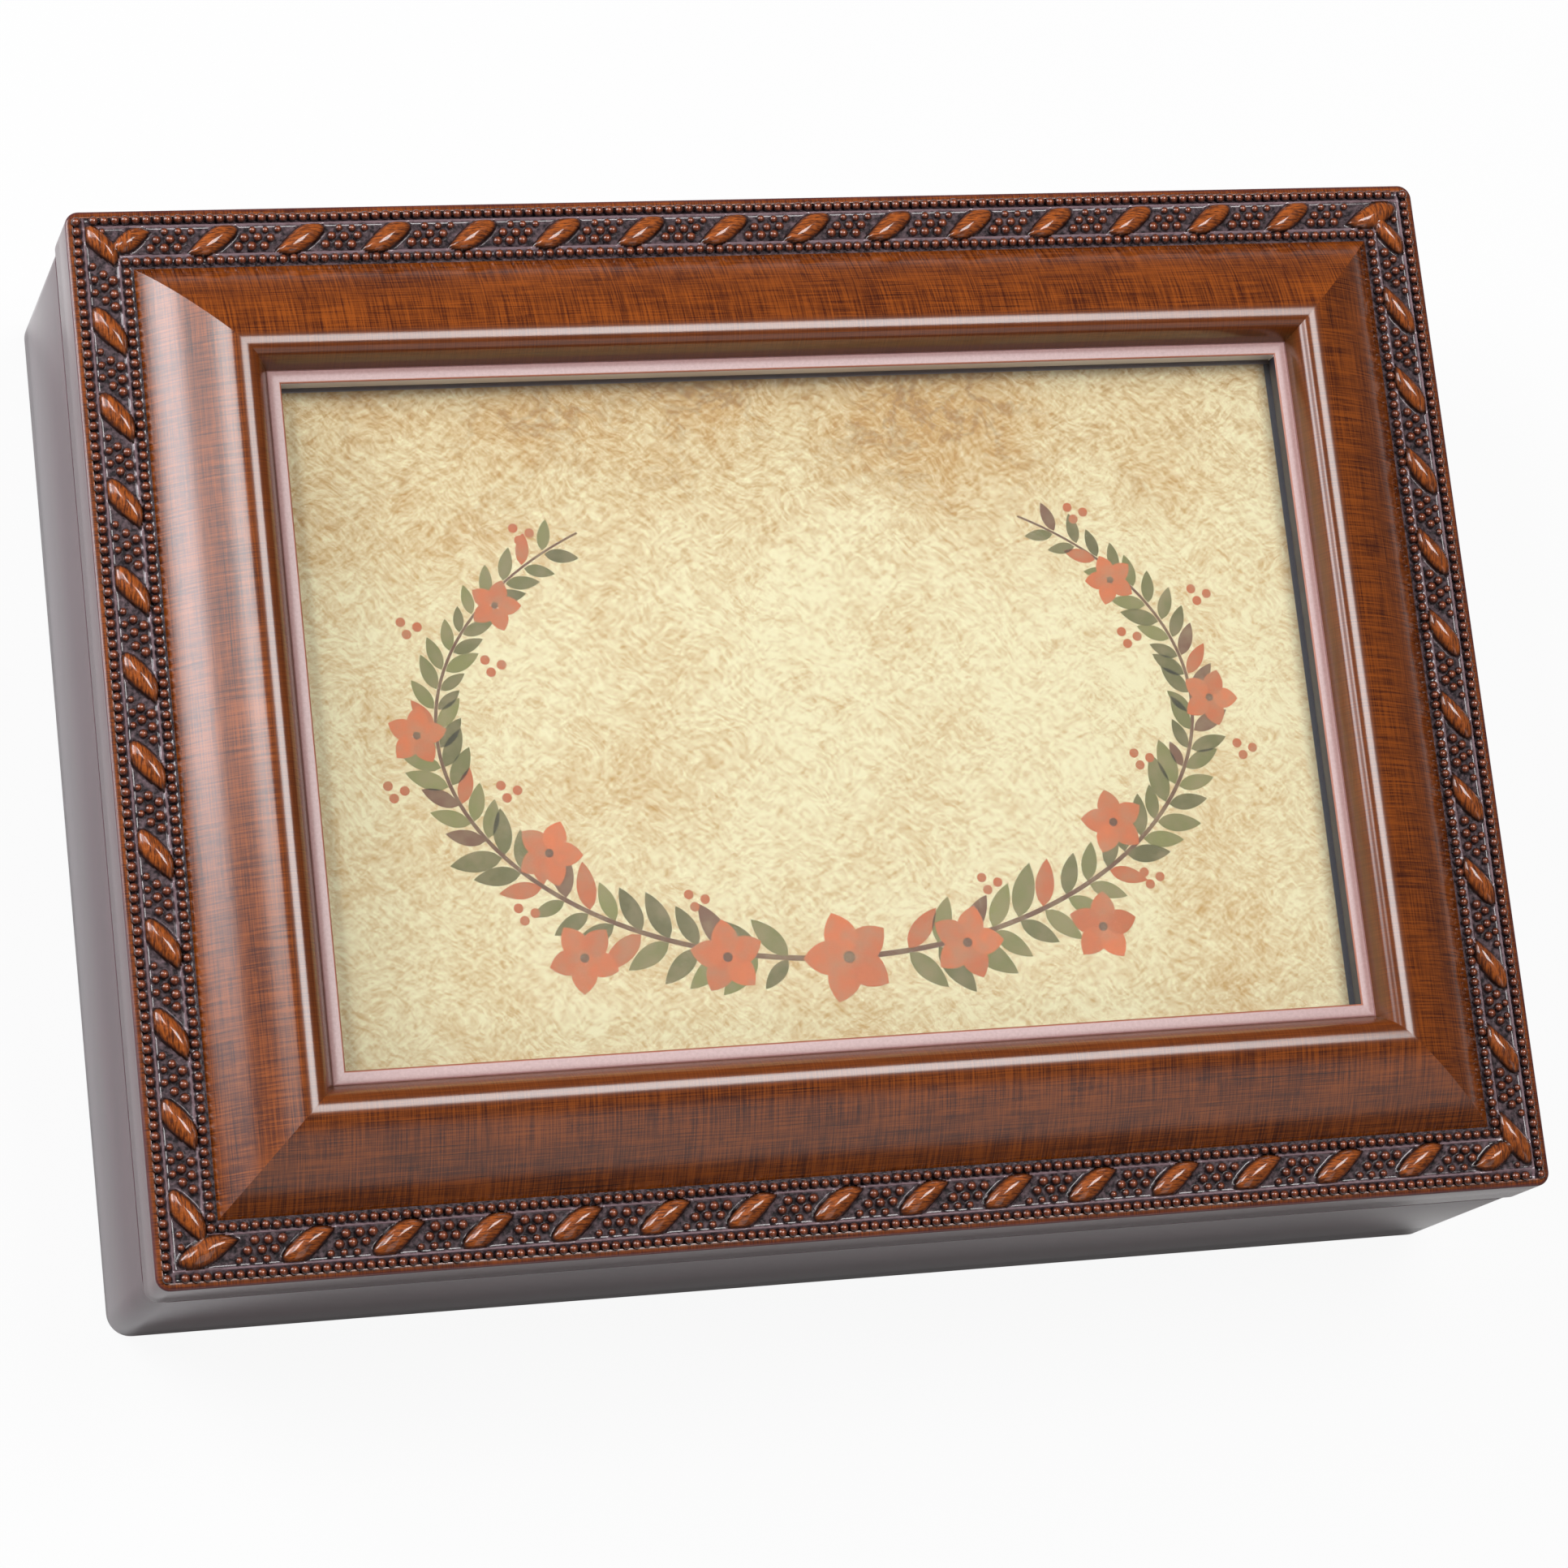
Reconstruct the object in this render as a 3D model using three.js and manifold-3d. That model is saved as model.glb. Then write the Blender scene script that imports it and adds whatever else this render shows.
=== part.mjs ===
// A wooden music box whose lid is a picture frame, with a wind-up movement inside.
// Millimetres, +Z up. The origin is on the table, under the middle of the closed box's outline,
// hinge barrels included. +X runs along the long side, and the lid opens towards +Y.
import * as THREE from "three";
import { mergeVertices } from "three/addons/utils/BufferGeometryUtils.js";
import Module from "manifold-3d";

const wasm = await Module();
wasm.setup();

// Driving dimensions: the print, its pane and board, and the play around them
const printWidth = 152.4;
const printDepth = 101.6;
const printThickness = 0.4;
const printPlay = 0.4;
const glassThickness = 2;
const backingThickness = 2.2;
const stackPlay = 0.1;

// Moulding seen on the lid, from the outer face inwards
const lidSideHeight = 10.3;
const rimRadius = 1;
const bandInset = 1;
const bandOuterDrop = 0.2;
const bandWidth = 7.9;
const bandRise = 0.9;
const cushionWidth = 12;
const cushionRise = 7.1;
const cushionSagitta = 1.4;
const cushionSteps = 10;
const channelWidth = 0.5;
const channelDepth = 0.5;
const beadRadius = 1.25;
const beadSteps = 6;
const coveDrop = 0.3;
const coveWidth = 1.6;
const coveHeight = 2.1;
const coveSteps = 5;
const lipDrop = 3.1;
const lipWidth = 2;
const lipOverlap = 2.5;
const lipThickness = 2.5;

// Wooden walls
const wallThickness = 8;
const baseCornerRadius = 3.5;
const lidCornerRadius = 2;
const mitreGap = 0.05;
const cornerSteps = 4;
const seamGap = 0.3;
const footPadHeight = 1;
const footPadRadius = 3;
const footPadSides = 20;

// Bottom panel, let into a groove around the walls
const panelThickness = 3;
const panelGrooveDepth = 3;
const grooveClearance = 0.15;

// Linings and the movement's compartment in the back left corner
const liningThickness = 1.2;
const floorLiningThickness = 1;
const liningGap = 0.2;
const liningDrop = 0.7;
const dividerThickness = 4;
const compartmentRoom = 3;
const coverThickness = 1.5;
const coverDrop = 0.2;
const coverEdgeGap = 0.3;

// Butt hinges let into the back edges
const hingeCornerInset = 41.6;
const hingeLength = 25;
const hingeLeafThickness = 0.8;
const hingeLeafMargin = 1.8;
const hingeBarrelRadius = 1.5;
const hingeKnuckles = 3;
const hingeKnuckleGap = 0.3;
const hingePinRadius = 0.6;
const hingePinHeadRadius = 1.2;
const hingePinHeadLength = 0.5;
const seatGap = 0.15;
const roundSides = 16;
const smallSides = 12;

// Turn buttons that hold the backing board
const buttonCornerInset = 61.6;
const buttonEdge = 1;
const buttonReach = 9;
const buttonWidth = 7;
const buttonThickness = 0.8;
const buttonScrewRadius = 1.1;
const buttonScrewLength = 5;
const buttonScrewHeadRadius = 2.6;
const buttonScrewHeadHeight = 0.9;

// Clearance of everything that turns or slides, and the overrun of every cut
const runningGap = 0.3;
const overrun = 1;

// Movement: bedplate, bearings and cylinder
const movementHeight = 19.7;
const bedplateEdge = 1;
const bedplateThickness = 2.4;
const bedplateCornerRadius = 2;
const bearingThickness = 1.2;
const cylinderRadius = 6.2;
const cylinderLength = 18;
const pinHeight = 0.7;
const arborRadius = 0.8;

// Spring barrel with a crown of teeth, standing beside the cylinder
const barrelRadius = 8;
const barrelWallThickness = 0.8;
const barrelHeight = 10;
const barrelGap = 0.4;
const flangeRadius = 11.5;
const flangeThickness = 1.2;
const crownTeeth = 35;
const crownToothHeight = 0.9;
const crownToothLength = 1.8;
const crownToothShare = 0.45;
const windingArborRadius = 1.5;
const windingArborStandout = 1;
const springTurns = 5;
const springStepsPerTurn = 16;
const springThickness = 0.35;
const springEdgeGap = 0.4;

// Wheels of the playing train
const wheelTeeth = 21;
const wheelThickness = 1.3;
const wheelToothDepth = 0.8;
const gearTeeth = 32;
const pinionTeeth = 8;
const pinionDistance = 8.4;
const gearThickness = 1.4;
const gearAddendum = 0.34;
const gearDedendum = 0.6;
const toothRootShare = 0.55;
const toothTipShare = 0.22;
const wormWheelTeeth = 20;
const wormWheelRadius = 3.6;
const wormWheelToothDepth = 0.5;
const wormRadius = 1.4;
const wormLength = 8;
const governorShaftRadius = 0.4;
const fanRadius = 4;
const fanThickness = 0.5;
const bracketThickness = 1.4;
const bracketWidth = 5;
const bracketArmThickness = 0.8;

// Comb
const combTeeth = 18;
const combThickness = 1;
const combBlockDepth = 8.5;
const combToothLength = 9.3;
const combToothShare = 0.72;
const combScrewRadius = 0.9;
const combScrewLength = 5;
const combScrewHeadRadius = 1.9;
const combScrewHeadHeight = 1;
const combScrewInset = 4;

// Screws up through the bottom panel, stop rod and winding key
const mountScrewRadius = 1.2;
const mountScrewHeadRadius = 2.6;
const mountScrewHeadHeight = 1.2;
const mountScrewInset = 3.5;
const stopRodRadius = 0.6;
const stopRodLead = 4;
const stopFlagWidth = 1;
const stopFlagThickness = 1;
const stopGuideWidth = 2.6;
const keyHubRadius = 3;
const keyHubHeight = 3.5;
const keyWingSpan = 20;
const keyWingHeight = 7;
const keyWingThickness = 1.8;
const keyPanelGap = 0.5;
const keyFloorGap = 2;

// Worked out for the moulding, from the lid's lower edge up and from the outer face inwards
const rimTop = lidSideHeight + rimRadius;
const bandOuterHeight = rimTop - bandOuterDrop;
const bandInnerHeight = bandOuterHeight + bandRise;
const bandEnd = bandInset + bandWidth;
const ridgeInset = bandEnd + cushionWidth;
const ridgeHeight = bandInnerHeight + cushionRise;
const beadCentre = ridgeInset + channelWidth + beadRadius;
const beadBase = ridgeHeight - channelDepth;
const coveStart = beadCentre + beadRadius;
const coveEnd = coveStart + coveWidth;
const lipHeight = ridgeHeight - lipDrop;
const lipEnd = coveEnd + lipWidth;
const railBackWidth = lipEnd - lipOverlap;
const rabbetCeiling = lipHeight - lipThickness;
const stackHeight = glassThickness + printThickness + backingThickness;
const recessCeiling = rabbetCeiling - stackHeight - stackPlay;

// Worked out for the box
const boxWidth = printWidth + 2 * (printPlay + railBackWidth);
const boxDepth = printDepth + 2 * (printPlay + railBackWidth);
const innerRight = boxWidth / 2 - wallThickness;
const innerLeft = -innerRight;
const innerBack = boxDepth / 2 - wallThickness;
const innerFront = -innerBack;
const panelRecess = keyPanelGap + keyHubHeight + keyWingHeight + keyFloorGap - footPadHeight;
const baseBottom = footPadHeight;
const panelBottom = baseBottom + panelRecess;
const panelTop = panelBottom + panelThickness;
const dividerTop = panelTop + movementHeight + runningGap;
const baseTop = dividerTop + coverThickness + coverDrop;
const baseWallHeight = baseTop - baseBottom;
const lidBottom = baseTop + seamGap;
const hingeLeafDepth = wallThickness - hingeLeafMargin;
const hingeStandoff = hingeBarrelRadius + runningGap;
const hingeAxisY = boxDepth / 2 + hingeStandoff;
const hingeAxisZ = baseTop + seamGap / 2;
const hingeProtrusion = hingeStandoff + hingeBarrelRadius;

// Materials, one for each finish
const finish = (color, roughness, metalness = 0, opacity = 1) =>
  new THREE.MeshStandardMaterial({
    color,
    roughness,
    metalness,
    opacity,
    transparent: opacity < 1,
  });
const walnut = finish(0x7a3a1c, 0.35);
const darkWood = finish(0x4b2e30, 0.45);
const boardBrown = finish(0x5a4636, 0.8);
const velvet = finish(0x5c1420, 0.95);
const parchment = finish(0xe8d3a8, 0.8);
const clear = finish(0xeef4f4, 0.05, 0, 0.3);
const brass = finish(0xb08d4a, 0.3, 1);
const steel = finish(0xb9bcc0, 0.3, 1);
const casting = finish(0xa5a7a8, 0.5, 1);
const felt = finish(0x2c2623, 0.95);

// A closed geometry as a solid that can be cut and joined
function solidOf(geometry) {
  const bare = geometry.index ? geometry.toNonIndexed() : geometry.clone();
  bare.deleteAttribute("normal");
  bare.deleteAttribute("uv");
  const merged = mergeVertices(bare);
  return new wasm.Manifold(
    new wasm.Mesh({
      numProp: 3,
      vertProperties: merged.attributes.position.array,
      triVerts: new Uint32Array(merged.index.array),
    }),
  );
}

// A solid as a geometry with flat faces
function geometryOf(solid) {
  const mesh = solid.getMesh();
  const indexed = new THREE.BufferGeometry();
  indexed.setAttribute("position", new THREE.BufferAttribute(mesh.vertProperties, 3));
  indexed.setIndex(new THREE.BufferAttribute(mesh.triVerts, 1));
  const flat = indexed.toNonIndexed();
  flat.computeVertexNormals();
  return flat;
}

function cut(geometry, ...tools) {
  return geometryOf(
    tools.reduce((left, tool) => left.subtract(solidOf(tool)), solidOf(geometry)),
  );
}

function join(geometry, ...others) {
  return geometryOf(
    others.reduce((sum, other) => sum.add(solidOf(other)), solidOf(geometry)),
  );
}

function common(geometry, other) {
  return geometryOf(solidOf(geometry).intersect(solidOf(other)));
}

// A box between two limits along each axis
function block([x0, x1], [y0, y1], [z0, z1]) {
  return new THREE.BoxGeometry(x1 - x0, y1 - y0, z1 - z0).translate(
    (x0 + x1) / 2,
    (y0 + y1) / 2,
    (z0 + z1) / 2,
  );
}

// A round bar along X or Z, from one place to another, centred on the other two axes' places
function bar(axis, radius, [from, to], [a, b], sides = roundSides) {
  const middle = (from + to) / 2;
  const geometry = new THREE.CylinderGeometry(radius, radius, to - from, sides);
  if (axis === "x") return geometry.rotateZ(-Math.PI / 2).translate(middle, a, b);
  return geometry.rotateX(Math.PI / 2).translate(a, b, middle);
}

// A plate of any outline, lying flat between two heights
function plate(shape, [z0, z1], curveSteps = cornerSteps) {
  const options = { depth: z1 - z0, bevelEnabled: false, curveSegments: curveSteps };
  return new THREE.ExtrudeGeometry(shape, options).translate(0, 0, z0);
}

// A plate of any outline drawn in Y and Z, standing between two places along X
function standingPlate(shape, [x0, x1], curveSteps = cornerSteps) {
  return plate(shape, [x0, x1], curveSteps).rotateY(Math.PI / 2).rotateX(Math.PI / 2);
}

// The outline of a gear: each tooth is a trapezium between the root and the tip
function gearShape(teeth, rootRadius, tipRadius, rootShare, tipShare) {
  const shape = new THREE.Shape();
  const pitch = (2 * Math.PI) / teeth;
  for (let i = 0; i < teeth; i += 1) {
    const corners = [
      [rootRadius, -rootShare / 2],
      [tipRadius, -tipShare / 2],
      [tipRadius, tipShare / 2],
      [rootRadius, rootShare / 2],
    ];
    for (const [radius, share] of corners) {
      const angle = (i + share) * pitch;
      const point = [radius * Math.cos(angle), radius * Math.sin(angle)];
      if (i === 0 && share === -rootShare / 2) shape.moveTo(...point);
      else shape.lineTo(...point);
    }
  }
  shape.closePath();
  return shape;
}

// A straight stick with one section all along, mitred at both ends. It lies along X with its
// outer face at y = 0. The section's x runs inwards from that face, and its y runs up.
function mitredStick(section, length, curveSteps) {
  const ring = section.getPoints(curveSteps);
  if (ring[0].distanceTo(ring[ring.length - 1]) < mitreGap / 2) ring.pop();
  if (THREE.ShapeUtils.isClockWise(ring)) ring.reverse();
  const count = ring.length;
  const place = [];
  for (const end of [-1, 1]) {
    for (const { x: inset, y: height } of ring) {
      place.push(end * (length / 2 - inset - mitreGap), inset, height);
    }
  }
  const faces = [];
  for (const [a, b, c] of THREE.ShapeUtils.triangulateShape(ring, [])) {
    faces.push(a, c, b, a + count, b + count, c + count);
  }
  for (let i = 0; i < count; i += 1) {
    const next = (i + 1) % count;
    faces.push(i, next, next + count, i, next + count, i + count);
  }
  const geometry = new THREE.BufferGeometry();
  geometry.setAttribute("position", new THREE.Float32BufferAttribute(place, 3));
  geometry.setIndex(faces);
  return geometry;
}

// The stick with the frame's upright corners rounded
function roundedStick(section, length, depth, radius, [z0, z1], curveSteps) {
  const half = length / 2;
  const plan = new THREE.Shape();
  plan.moveTo(half, depth);
  plan.lineTo(-half, depth);
  plan.lineTo(-half, radius);
  plan.absarc(-half + radius, radius, radius, Math.PI, 1.5 * Math.PI, false);
  plan.lineTo(half - radius, 0);
  plan.absarc(half - radius, radius, radius, 1.5 * Math.PI, 2 * Math.PI, false);
  plan.closePath();
  return common(mitredStick(section, length, curveSteps), plate(plan, [z0, z1]));
}

// The four sides of a rectangular frame: name, length, place of the outer face and turn
const sides = [
  { name: "front", length: boxWidth, x: 0, y: -boxDepth / 2, turn: 0 },
  { name: "right", length: boxDepth, x: boxWidth / 2, y: 0, turn: Math.PI / 2 },
  { name: "back", length: boxWidth, x: 0, y: boxDepth / 2, turn: Math.PI },
  { name: "left", length: boxDepth, x: -boxWidth / 2, y: 0, turn: -Math.PI / 2 },
];

// Adds a named piece to a group
function add(group, name, geometry, material, [x, y, z] = [0, 0, 0], turn = 0) {
  const mesh = new THREE.Mesh(geometry, material);
  mesh.name = name;
  mesh.position.set(x, y, z);
  mesh.rotation.z = turn;
  group.add(mesh);
  return mesh;
}

const musicBox = new THREE.Group();
musicBox.position.y = -hingeProtrusion / 2;
const base = new THREE.Group();
const lid = new THREE.Group();
lid.position.z = lidBottom;
const movement = new THREE.Group();
musicBox.add(base, lid, movement);

// Places of the hinges along X
const hingePlaces = [
  { name: "left", x: -boxWidth / 2 + hingeCornerInset },
  { name: "right", x: boxWidth / 2 - hingeCornerInset },
];

// The mortise of a hinge leaf, as a tool in the frame of a back stick, whose X runs the other way
function leafMortise(x, [z0, z1]) {
  const half = hingeLength / 2 + seatGap;
  return block([-x - half, -x + half], [-overrun, hingeLeafDepth + seatGap], [z0, z1]);
}

// Base walls: plain boards, mitred, with a groove for the bottom panel
const wallSection = new THREE.Shape();
wallSection.moveTo(0, 0);
wallSection.lineTo(wallThickness, 0);
wallSection.lineTo(wallThickness, panelRecess - grooveClearance);
wallSection.lineTo(wallThickness - panelGrooveDepth - grooveClearance, panelRecess - grooveClearance);
wallSection.lineTo(
  wallThickness - panelGrooveDepth - grooveClearance,
  panelRecess + panelThickness + grooveClearance,
);
wallSection.lineTo(wallThickness, panelRecess + panelThickness + grooveClearance);
wallSection.lineTo(wallThickness, baseWallHeight);
wallSection.lineTo(0, baseWallHeight);
wallSection.closePath();

for (const { name, length, x, y, turn } of sides) {
  const limits = [-overrun, baseWallHeight + overrun];
  const wall = roundedStick(wallSection, length, wallThickness, baseCornerRadius, limits, 1);
  const mortiseFloor = baseWallHeight - hingeLeafThickness - seatGap;
  const mortises = hingePlaces.map((hinge) => leafMortise(hinge.x, [mortiseFloor, limits[1]]));
  const shaped = name === "back" ? cut(wall, ...mortises) : wall;
  add(base, `base_${name}_wall`, shaped, darkWood, [x, y, baseBottom], turn);
}

// Felt pads under the four corners
const padInset = Math.max(wallThickness / 2, footPadRadius + runningGap);
for (const [side, x] of [["left", -boxWidth / 2 + padInset], ["right", boxWidth / 2 - padInset]]) {
  for (const [end, y] of [["front", -boxDepth / 2 + padInset], ["back", boxDepth / 2 - padInset]]) {
    const pad = bar("z", footPadRadius, [0, footPadHeight], [x, y], footPadSides);
    add(base, `foot_pad_${end}_${side}`, pad, felt);
  }
}

// Movement: a wind-up comb and cylinder work. Its own frame has its origin on the bottom panel,
// under the middle of the bedplate, with u along the cylinder and v from the comb backwards.
// Along u stand the barrel, the left bearing, the cylinder's wheel, the cylinder, its gear, the
// right bearing, and the governor with its bracket.
const barrelToGearEnd =
  barrelRadius +
  barrelGap +
  bearingThickness +
  runningGap +
  wheelThickness +
  runningGap +
  cylinderLength +
  runningGap +
  gearThickness;
const governorSpan = 2 * (runningGap + fanRadius) + bracketThickness;
const bedplateLength = 2 * bedplateEdge + flangeRadius + barrelToGearEnd + governorSpan;
const barrelU = -bedplateLength / 2 + bedplateEdge + flangeRadius;
const leftBearingStart = barrelU + barrelRadius + barrelGap;
const leftBearingEnd = leftBearingStart + bearingThickness;
const wheelStart = leftBearingEnd + runningGap;
const wheelEnd = wheelStart + wheelThickness;
const cylinderStart = wheelEnd + runningGap;
const cylinderEnd = cylinderStart + cylinderLength;
const gearStart = cylinderEnd + runningGap;
const gearEnd = gearStart + gearThickness;
const rightBearingStart = gearEnd + 2 * runningGap;
const rightBearingEnd = rightBearingStart + bearingThickness;
const governorU = gearEnd + runningGap + fanRadius;
const bracketPostU = governorU + fanRadius + runningGap;

// Along v stand the comb, the cylinder and the second shaft
const bedplateDepth =
  2 * bedplateEdge +
  combBlockDepth +
  combToothLength +
  runningGap +
  pinHeight +
  cylinderRadius +
  pinionDistance +
  wormWheelRadius;
const combBackV = -bedplateDepth / 2 + bedplateEdge;
const combFrontV = combBackV + combBlockDepth;
const toothTipV = combFrontV + combToothLength;
const cylinderV = toothTipV + runningGap + pinHeight + cylinderRadius;
const pinionV = cylinderV + pinionDistance;
const governorV = pinionV - wormWheelRadius - runningGap - wormRadius;

// Heights above the bottom panel
const toothModule = (2 * pinionDistance) / (gearTeeth + pinionTeeth);
const gearRadius = (toothModule * gearTeeth) / 2;
const pinionRadius = (toothModule * pinionTeeth) / 2;
const bedplateTop = bedplateThickness;
const shaftHeight = movementHeight - gearRadius - gearAddendum - runningGap;
const barrelBottom = bedplateTop + barrelGap;
const barrelTop = barrelBottom + barrelHeight;
const crownTop = barrelBottom + flangeThickness + crownToothHeight;
const wheelRadius = shaftHeight - crownTop - runningGap;
const bearingTop = shaftHeight + 2 * bearingThickness;
const armBottom = movementHeight - bracketArmThickness;
const fanStart = shaftHeight + wormWheelRadius + runningGap;
const fanEnd = armBottom - runningGap;
const stopGuideHeight = shaftHeight - arborRadius - 2 * runningGap;
const stopRodU = bracketPostU - runningGap - stopGuideWidth / 2;
const stopRodV = pinionV + arborRadius + runningGap + stopRodRadius;

// The compartment is as large as the bedplate and the room around it
const compartmentWidth = bedplateLength + 2 * compartmentRoom;
const compartmentDepth = bedplateDepth + 2 * compartmentRoom;
const dividerLeft = innerLeft + compartmentWidth;
const dividerRight = dividerLeft + dividerThickness;
const dividerBack = innerBack - compartmentDepth;
const dividerFront = dividerBack - dividerThickness;
const movementPlace = {
  x: (innerLeft + dividerLeft) / 2,
  y: (innerBack + dividerBack) / 2,
  z: panelTop,
};
movement.position.set(movementPlace.x, movementPlace.y, movementPlace.z);
movement.rotation.z = Math.PI;

// A place of the movement's frame in the box's frame
const inBox = (u, v) => [movementPlace.x - u, movementPlace.y - v];

const mountScrewPlaces = [
  [-bedplateLength / 2 + mountScrewInset, -bedplateDepth / 2 + mountScrewInset],
  [bedplateLength / 2 - mountScrewInset, -bedplateDepth / 2 + mountScrewInset],
];

// Bottom panel with holes for the winding arbor and the movement's screws
const panelHalfWidth = innerRight + panelGrooveDepth;
const panelHalfDepth = innerBack + panelGrooveDepth;
const panelCut = [panelBottom - overrun, panelTop + overrun];
const keyHole = bar("z", windingArborRadius + 2 * runningGap, panelCut, inBox(barrelU, cylinderV));
const screwHoles = mountScrewPlaces.map(([u, v]) =>
  bar("z", mountScrewRadius + runningGap, panelCut, inBox(u, v), smallSides),
);
const panel = block(
  [-panelHalfWidth, panelHalfWidth],
  [-panelHalfDepth, panelHalfDepth],
  [panelBottom, panelTop],
);
add(base, "bottom_panel", cut(panel, keyHole, ...screwHoles), boardBrown);

// Dividers of the movement's compartment, and its clear cover
add(
  base,
  "divider_side",
  block([dividerLeft, dividerRight], [dividerFront, innerBack], [panelTop, dividerTop]),
  velvet,
);
add(
  base,
  "divider_front",
  block([innerLeft, dividerLeft], [dividerFront, dividerBack], [panelTop, dividerTop]),
  velvet,
);
const coverPlate = block(
  [innerLeft + coverEdgeGap, dividerRight],
  [dividerFront, innerBack - coverEdgeGap],
  [dividerTop, dividerTop + coverThickness],
);
const rodHole = bar(
  "z",
  stopRodRadius + 2 * runningGap,
  [dividerTop - overrun, baseTop + overrun],
  inBox(stopRodU, stopRodV),
  smallSides,
);
add(base, "movement_cover", cut(coverPlate, rodHole), clear);

// Velvet linings of the keepsake tray
const liningHeights = [panelTop, baseTop - liningDrop];
const liningFront = innerFront + liningThickness;
const liningRight = innerRight - liningThickness;
const liningLeft = innerLeft + liningThickness;
const liningBack = innerBack - liningThickness;
const wallLinings = {
  lining_front: [[innerLeft, innerRight], [innerFront, liningFront]],
  lining_right: [[liningRight, innerRight], [liningFront, innerBack]],
  lining_back: [[dividerRight, liningRight], [liningBack, innerBack]],
  lining_left: [[innerLeft, liningLeft], [liningFront, dividerFront]],
};
for (const [name, [alongX, alongY]] of Object.entries(wallLinings)) {
  add(base, name, block(alongX, alongY, liningHeights), velvet);
}

const floorShape = new THREE.Shape([
  new THREE.Vector2(liningLeft + liningGap, liningFront + liningGap),
  new THREE.Vector2(liningRight - liningGap, liningFront + liningGap),
  new THREE.Vector2(liningRight - liningGap, liningBack - liningGap),
  new THREE.Vector2(dividerRight + liningGap, liningBack - liningGap),
  new THREE.Vector2(dividerRight + liningGap, dividerFront - liningGap),
  new THREE.Vector2(liningLeft + liningGap, dividerFront - liningGap),
]);
add(base, "lining_floor", plate(floorShape, [panelTop, panelTop + floorLiningThickness]), velvet);

// Bedplate with the comb's raised bed and the stop rod's guide
const combBottom = shaftHeight - combThickness / 2;
const combTop = combBottom + combThickness;
const combScrewPlaces = [cylinderStart + combScrewInset, cylinderEnd - combScrewInset].map((u) => [
  u,
  (combBackV + combFrontV) / 2,
]);
const combScrewBottom = combTop - combScrewLength;

function bedplate() {
  const halfLength = bedplateLength / 2;
  const halfDepth = bedplateDepth / 2;
  const r = bedplateCornerRadius;
  const outline = new THREE.Shape();
  outline.moveTo(-halfLength + r, -halfDepth);
  outline.lineTo(halfLength - r, -halfDepth);
  outline.absarc(halfLength - r, -halfDepth + r, r, -Math.PI / 2, 0, false);
  outline.lineTo(halfLength, halfDepth - r);
  outline.absarc(halfLength - r, halfDepth - r, r, 0, Math.PI / 2, false);
  outline.lineTo(-halfLength + r, halfDepth);
  outline.absarc(-halfLength + r, halfDepth - r, r, Math.PI / 2, Math.PI, false);
  outline.lineTo(-halfLength, -halfDepth + r);
  outline.absarc(-halfLength + r, -halfDepth + r, r, Math.PI, 1.5 * Math.PI, false);
  outline.closePath();
  const combBed = block(
    [cylinderStart, cylinderEnd],
    [combBackV, combFrontV - combThickness],
    [bedplateThickness / 2, combBottom],
  );
  const guide = block(
    [stopRodU - stopGuideWidth / 2, stopRodU + stopGuideWidth / 2],
    [stopRodV - stopGuideWidth / 2, stopRodV + stopGuideWidth / 2],
    [bedplateThickness / 2, stopGuideHeight],
  );
  const through = [-overrun, stopGuideHeight + overrun];
  const holes = [
    bar("z", windingArborRadius + runningGap, through, [barrelU, cylinderV]),
    bar("z", stopRodRadius + runningGap, [bedplateTop, through[1]], [stopRodU, stopRodV], smallSides),
    ...mountScrewPlaces.map((at) =>
      bar("z", mountScrewRadius + runningGap, [-overrun, bedplateTop + overrun], at, smallSides),
    ),
    ...combScrewPlaces.map((at) =>
      bar(
        "z",
        combScrewRadius + runningGap,
        [combScrewBottom - runningGap, combTop + overrun],
        at,
        smallSides,
      ),
    ),
  ];
  return cut(join(plate(outline, [0, bedplateThickness]), combBed, guide), ...holes);
}
add(movement, "movement_bedplate", bedplate(), casting);

// Screws of the movement, their heads under the bottom panel
mountScrewPlaces.forEach((at, i) => {
  const head = [-panelThickness - mountScrewHeadHeight, -panelThickness];
  const shank = [-panelThickness - mountScrewHeadHeight / 2, bedplateThickness];
  const screw = join(
    bar("z", mountScrewHeadRadius, head, at),
    bar("z", mountScrewRadius, shank, at, smallSides),
  );
  add(movement, `movement_screw_${i + 1}`, screw, steel);
});

// The tuned comb: a block and one free tooth for each note
function comb() {
  const pitch = cylinderLength / combTeeth;
  const outline = new THREE.Shape();
  outline.moveTo(cylinderStart, combBackV);
  outline.lineTo(cylinderEnd, combBackV);
  outline.lineTo(cylinderEnd, combFrontV);
  for (let i = combTeeth - 1; i >= 0; i -= 1) {
    const middle = cylinderStart + (i + 0.5) * pitch;
    const half = (combToothShare * pitch) / 2;
    outline.lineTo(middle + half, combFrontV);
    outline.lineTo(middle + half, toothTipV);
    outline.lineTo(middle - half, toothTipV);
    outline.lineTo(middle - half, combFrontV);
  }
  outline.lineTo(cylinderStart, combFrontV);
  outline.closePath();
  const holes = combScrewPlaces.map((at) =>
    bar("z", combScrewRadius + runningGap, [0, movementHeight], at, smallSides),
  );
  return cut(plate(outline, [combBottom, combTop]), ...holes);
}
add(movement, "tuned_comb", comb(), steel);

combScrewPlaces.forEach((at, i) => {
  const screw = join(
    bar("z", combScrewHeadRadius, [combTop, combTop + combScrewHeadHeight], at),
    bar("z", combScrewRadius, [combScrewBottom, combTop + combScrewHeadHeight / 2], at, smallSides),
  );
  add(movement, `comb_screw_${i + 1}`, screw, steel);
});

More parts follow.
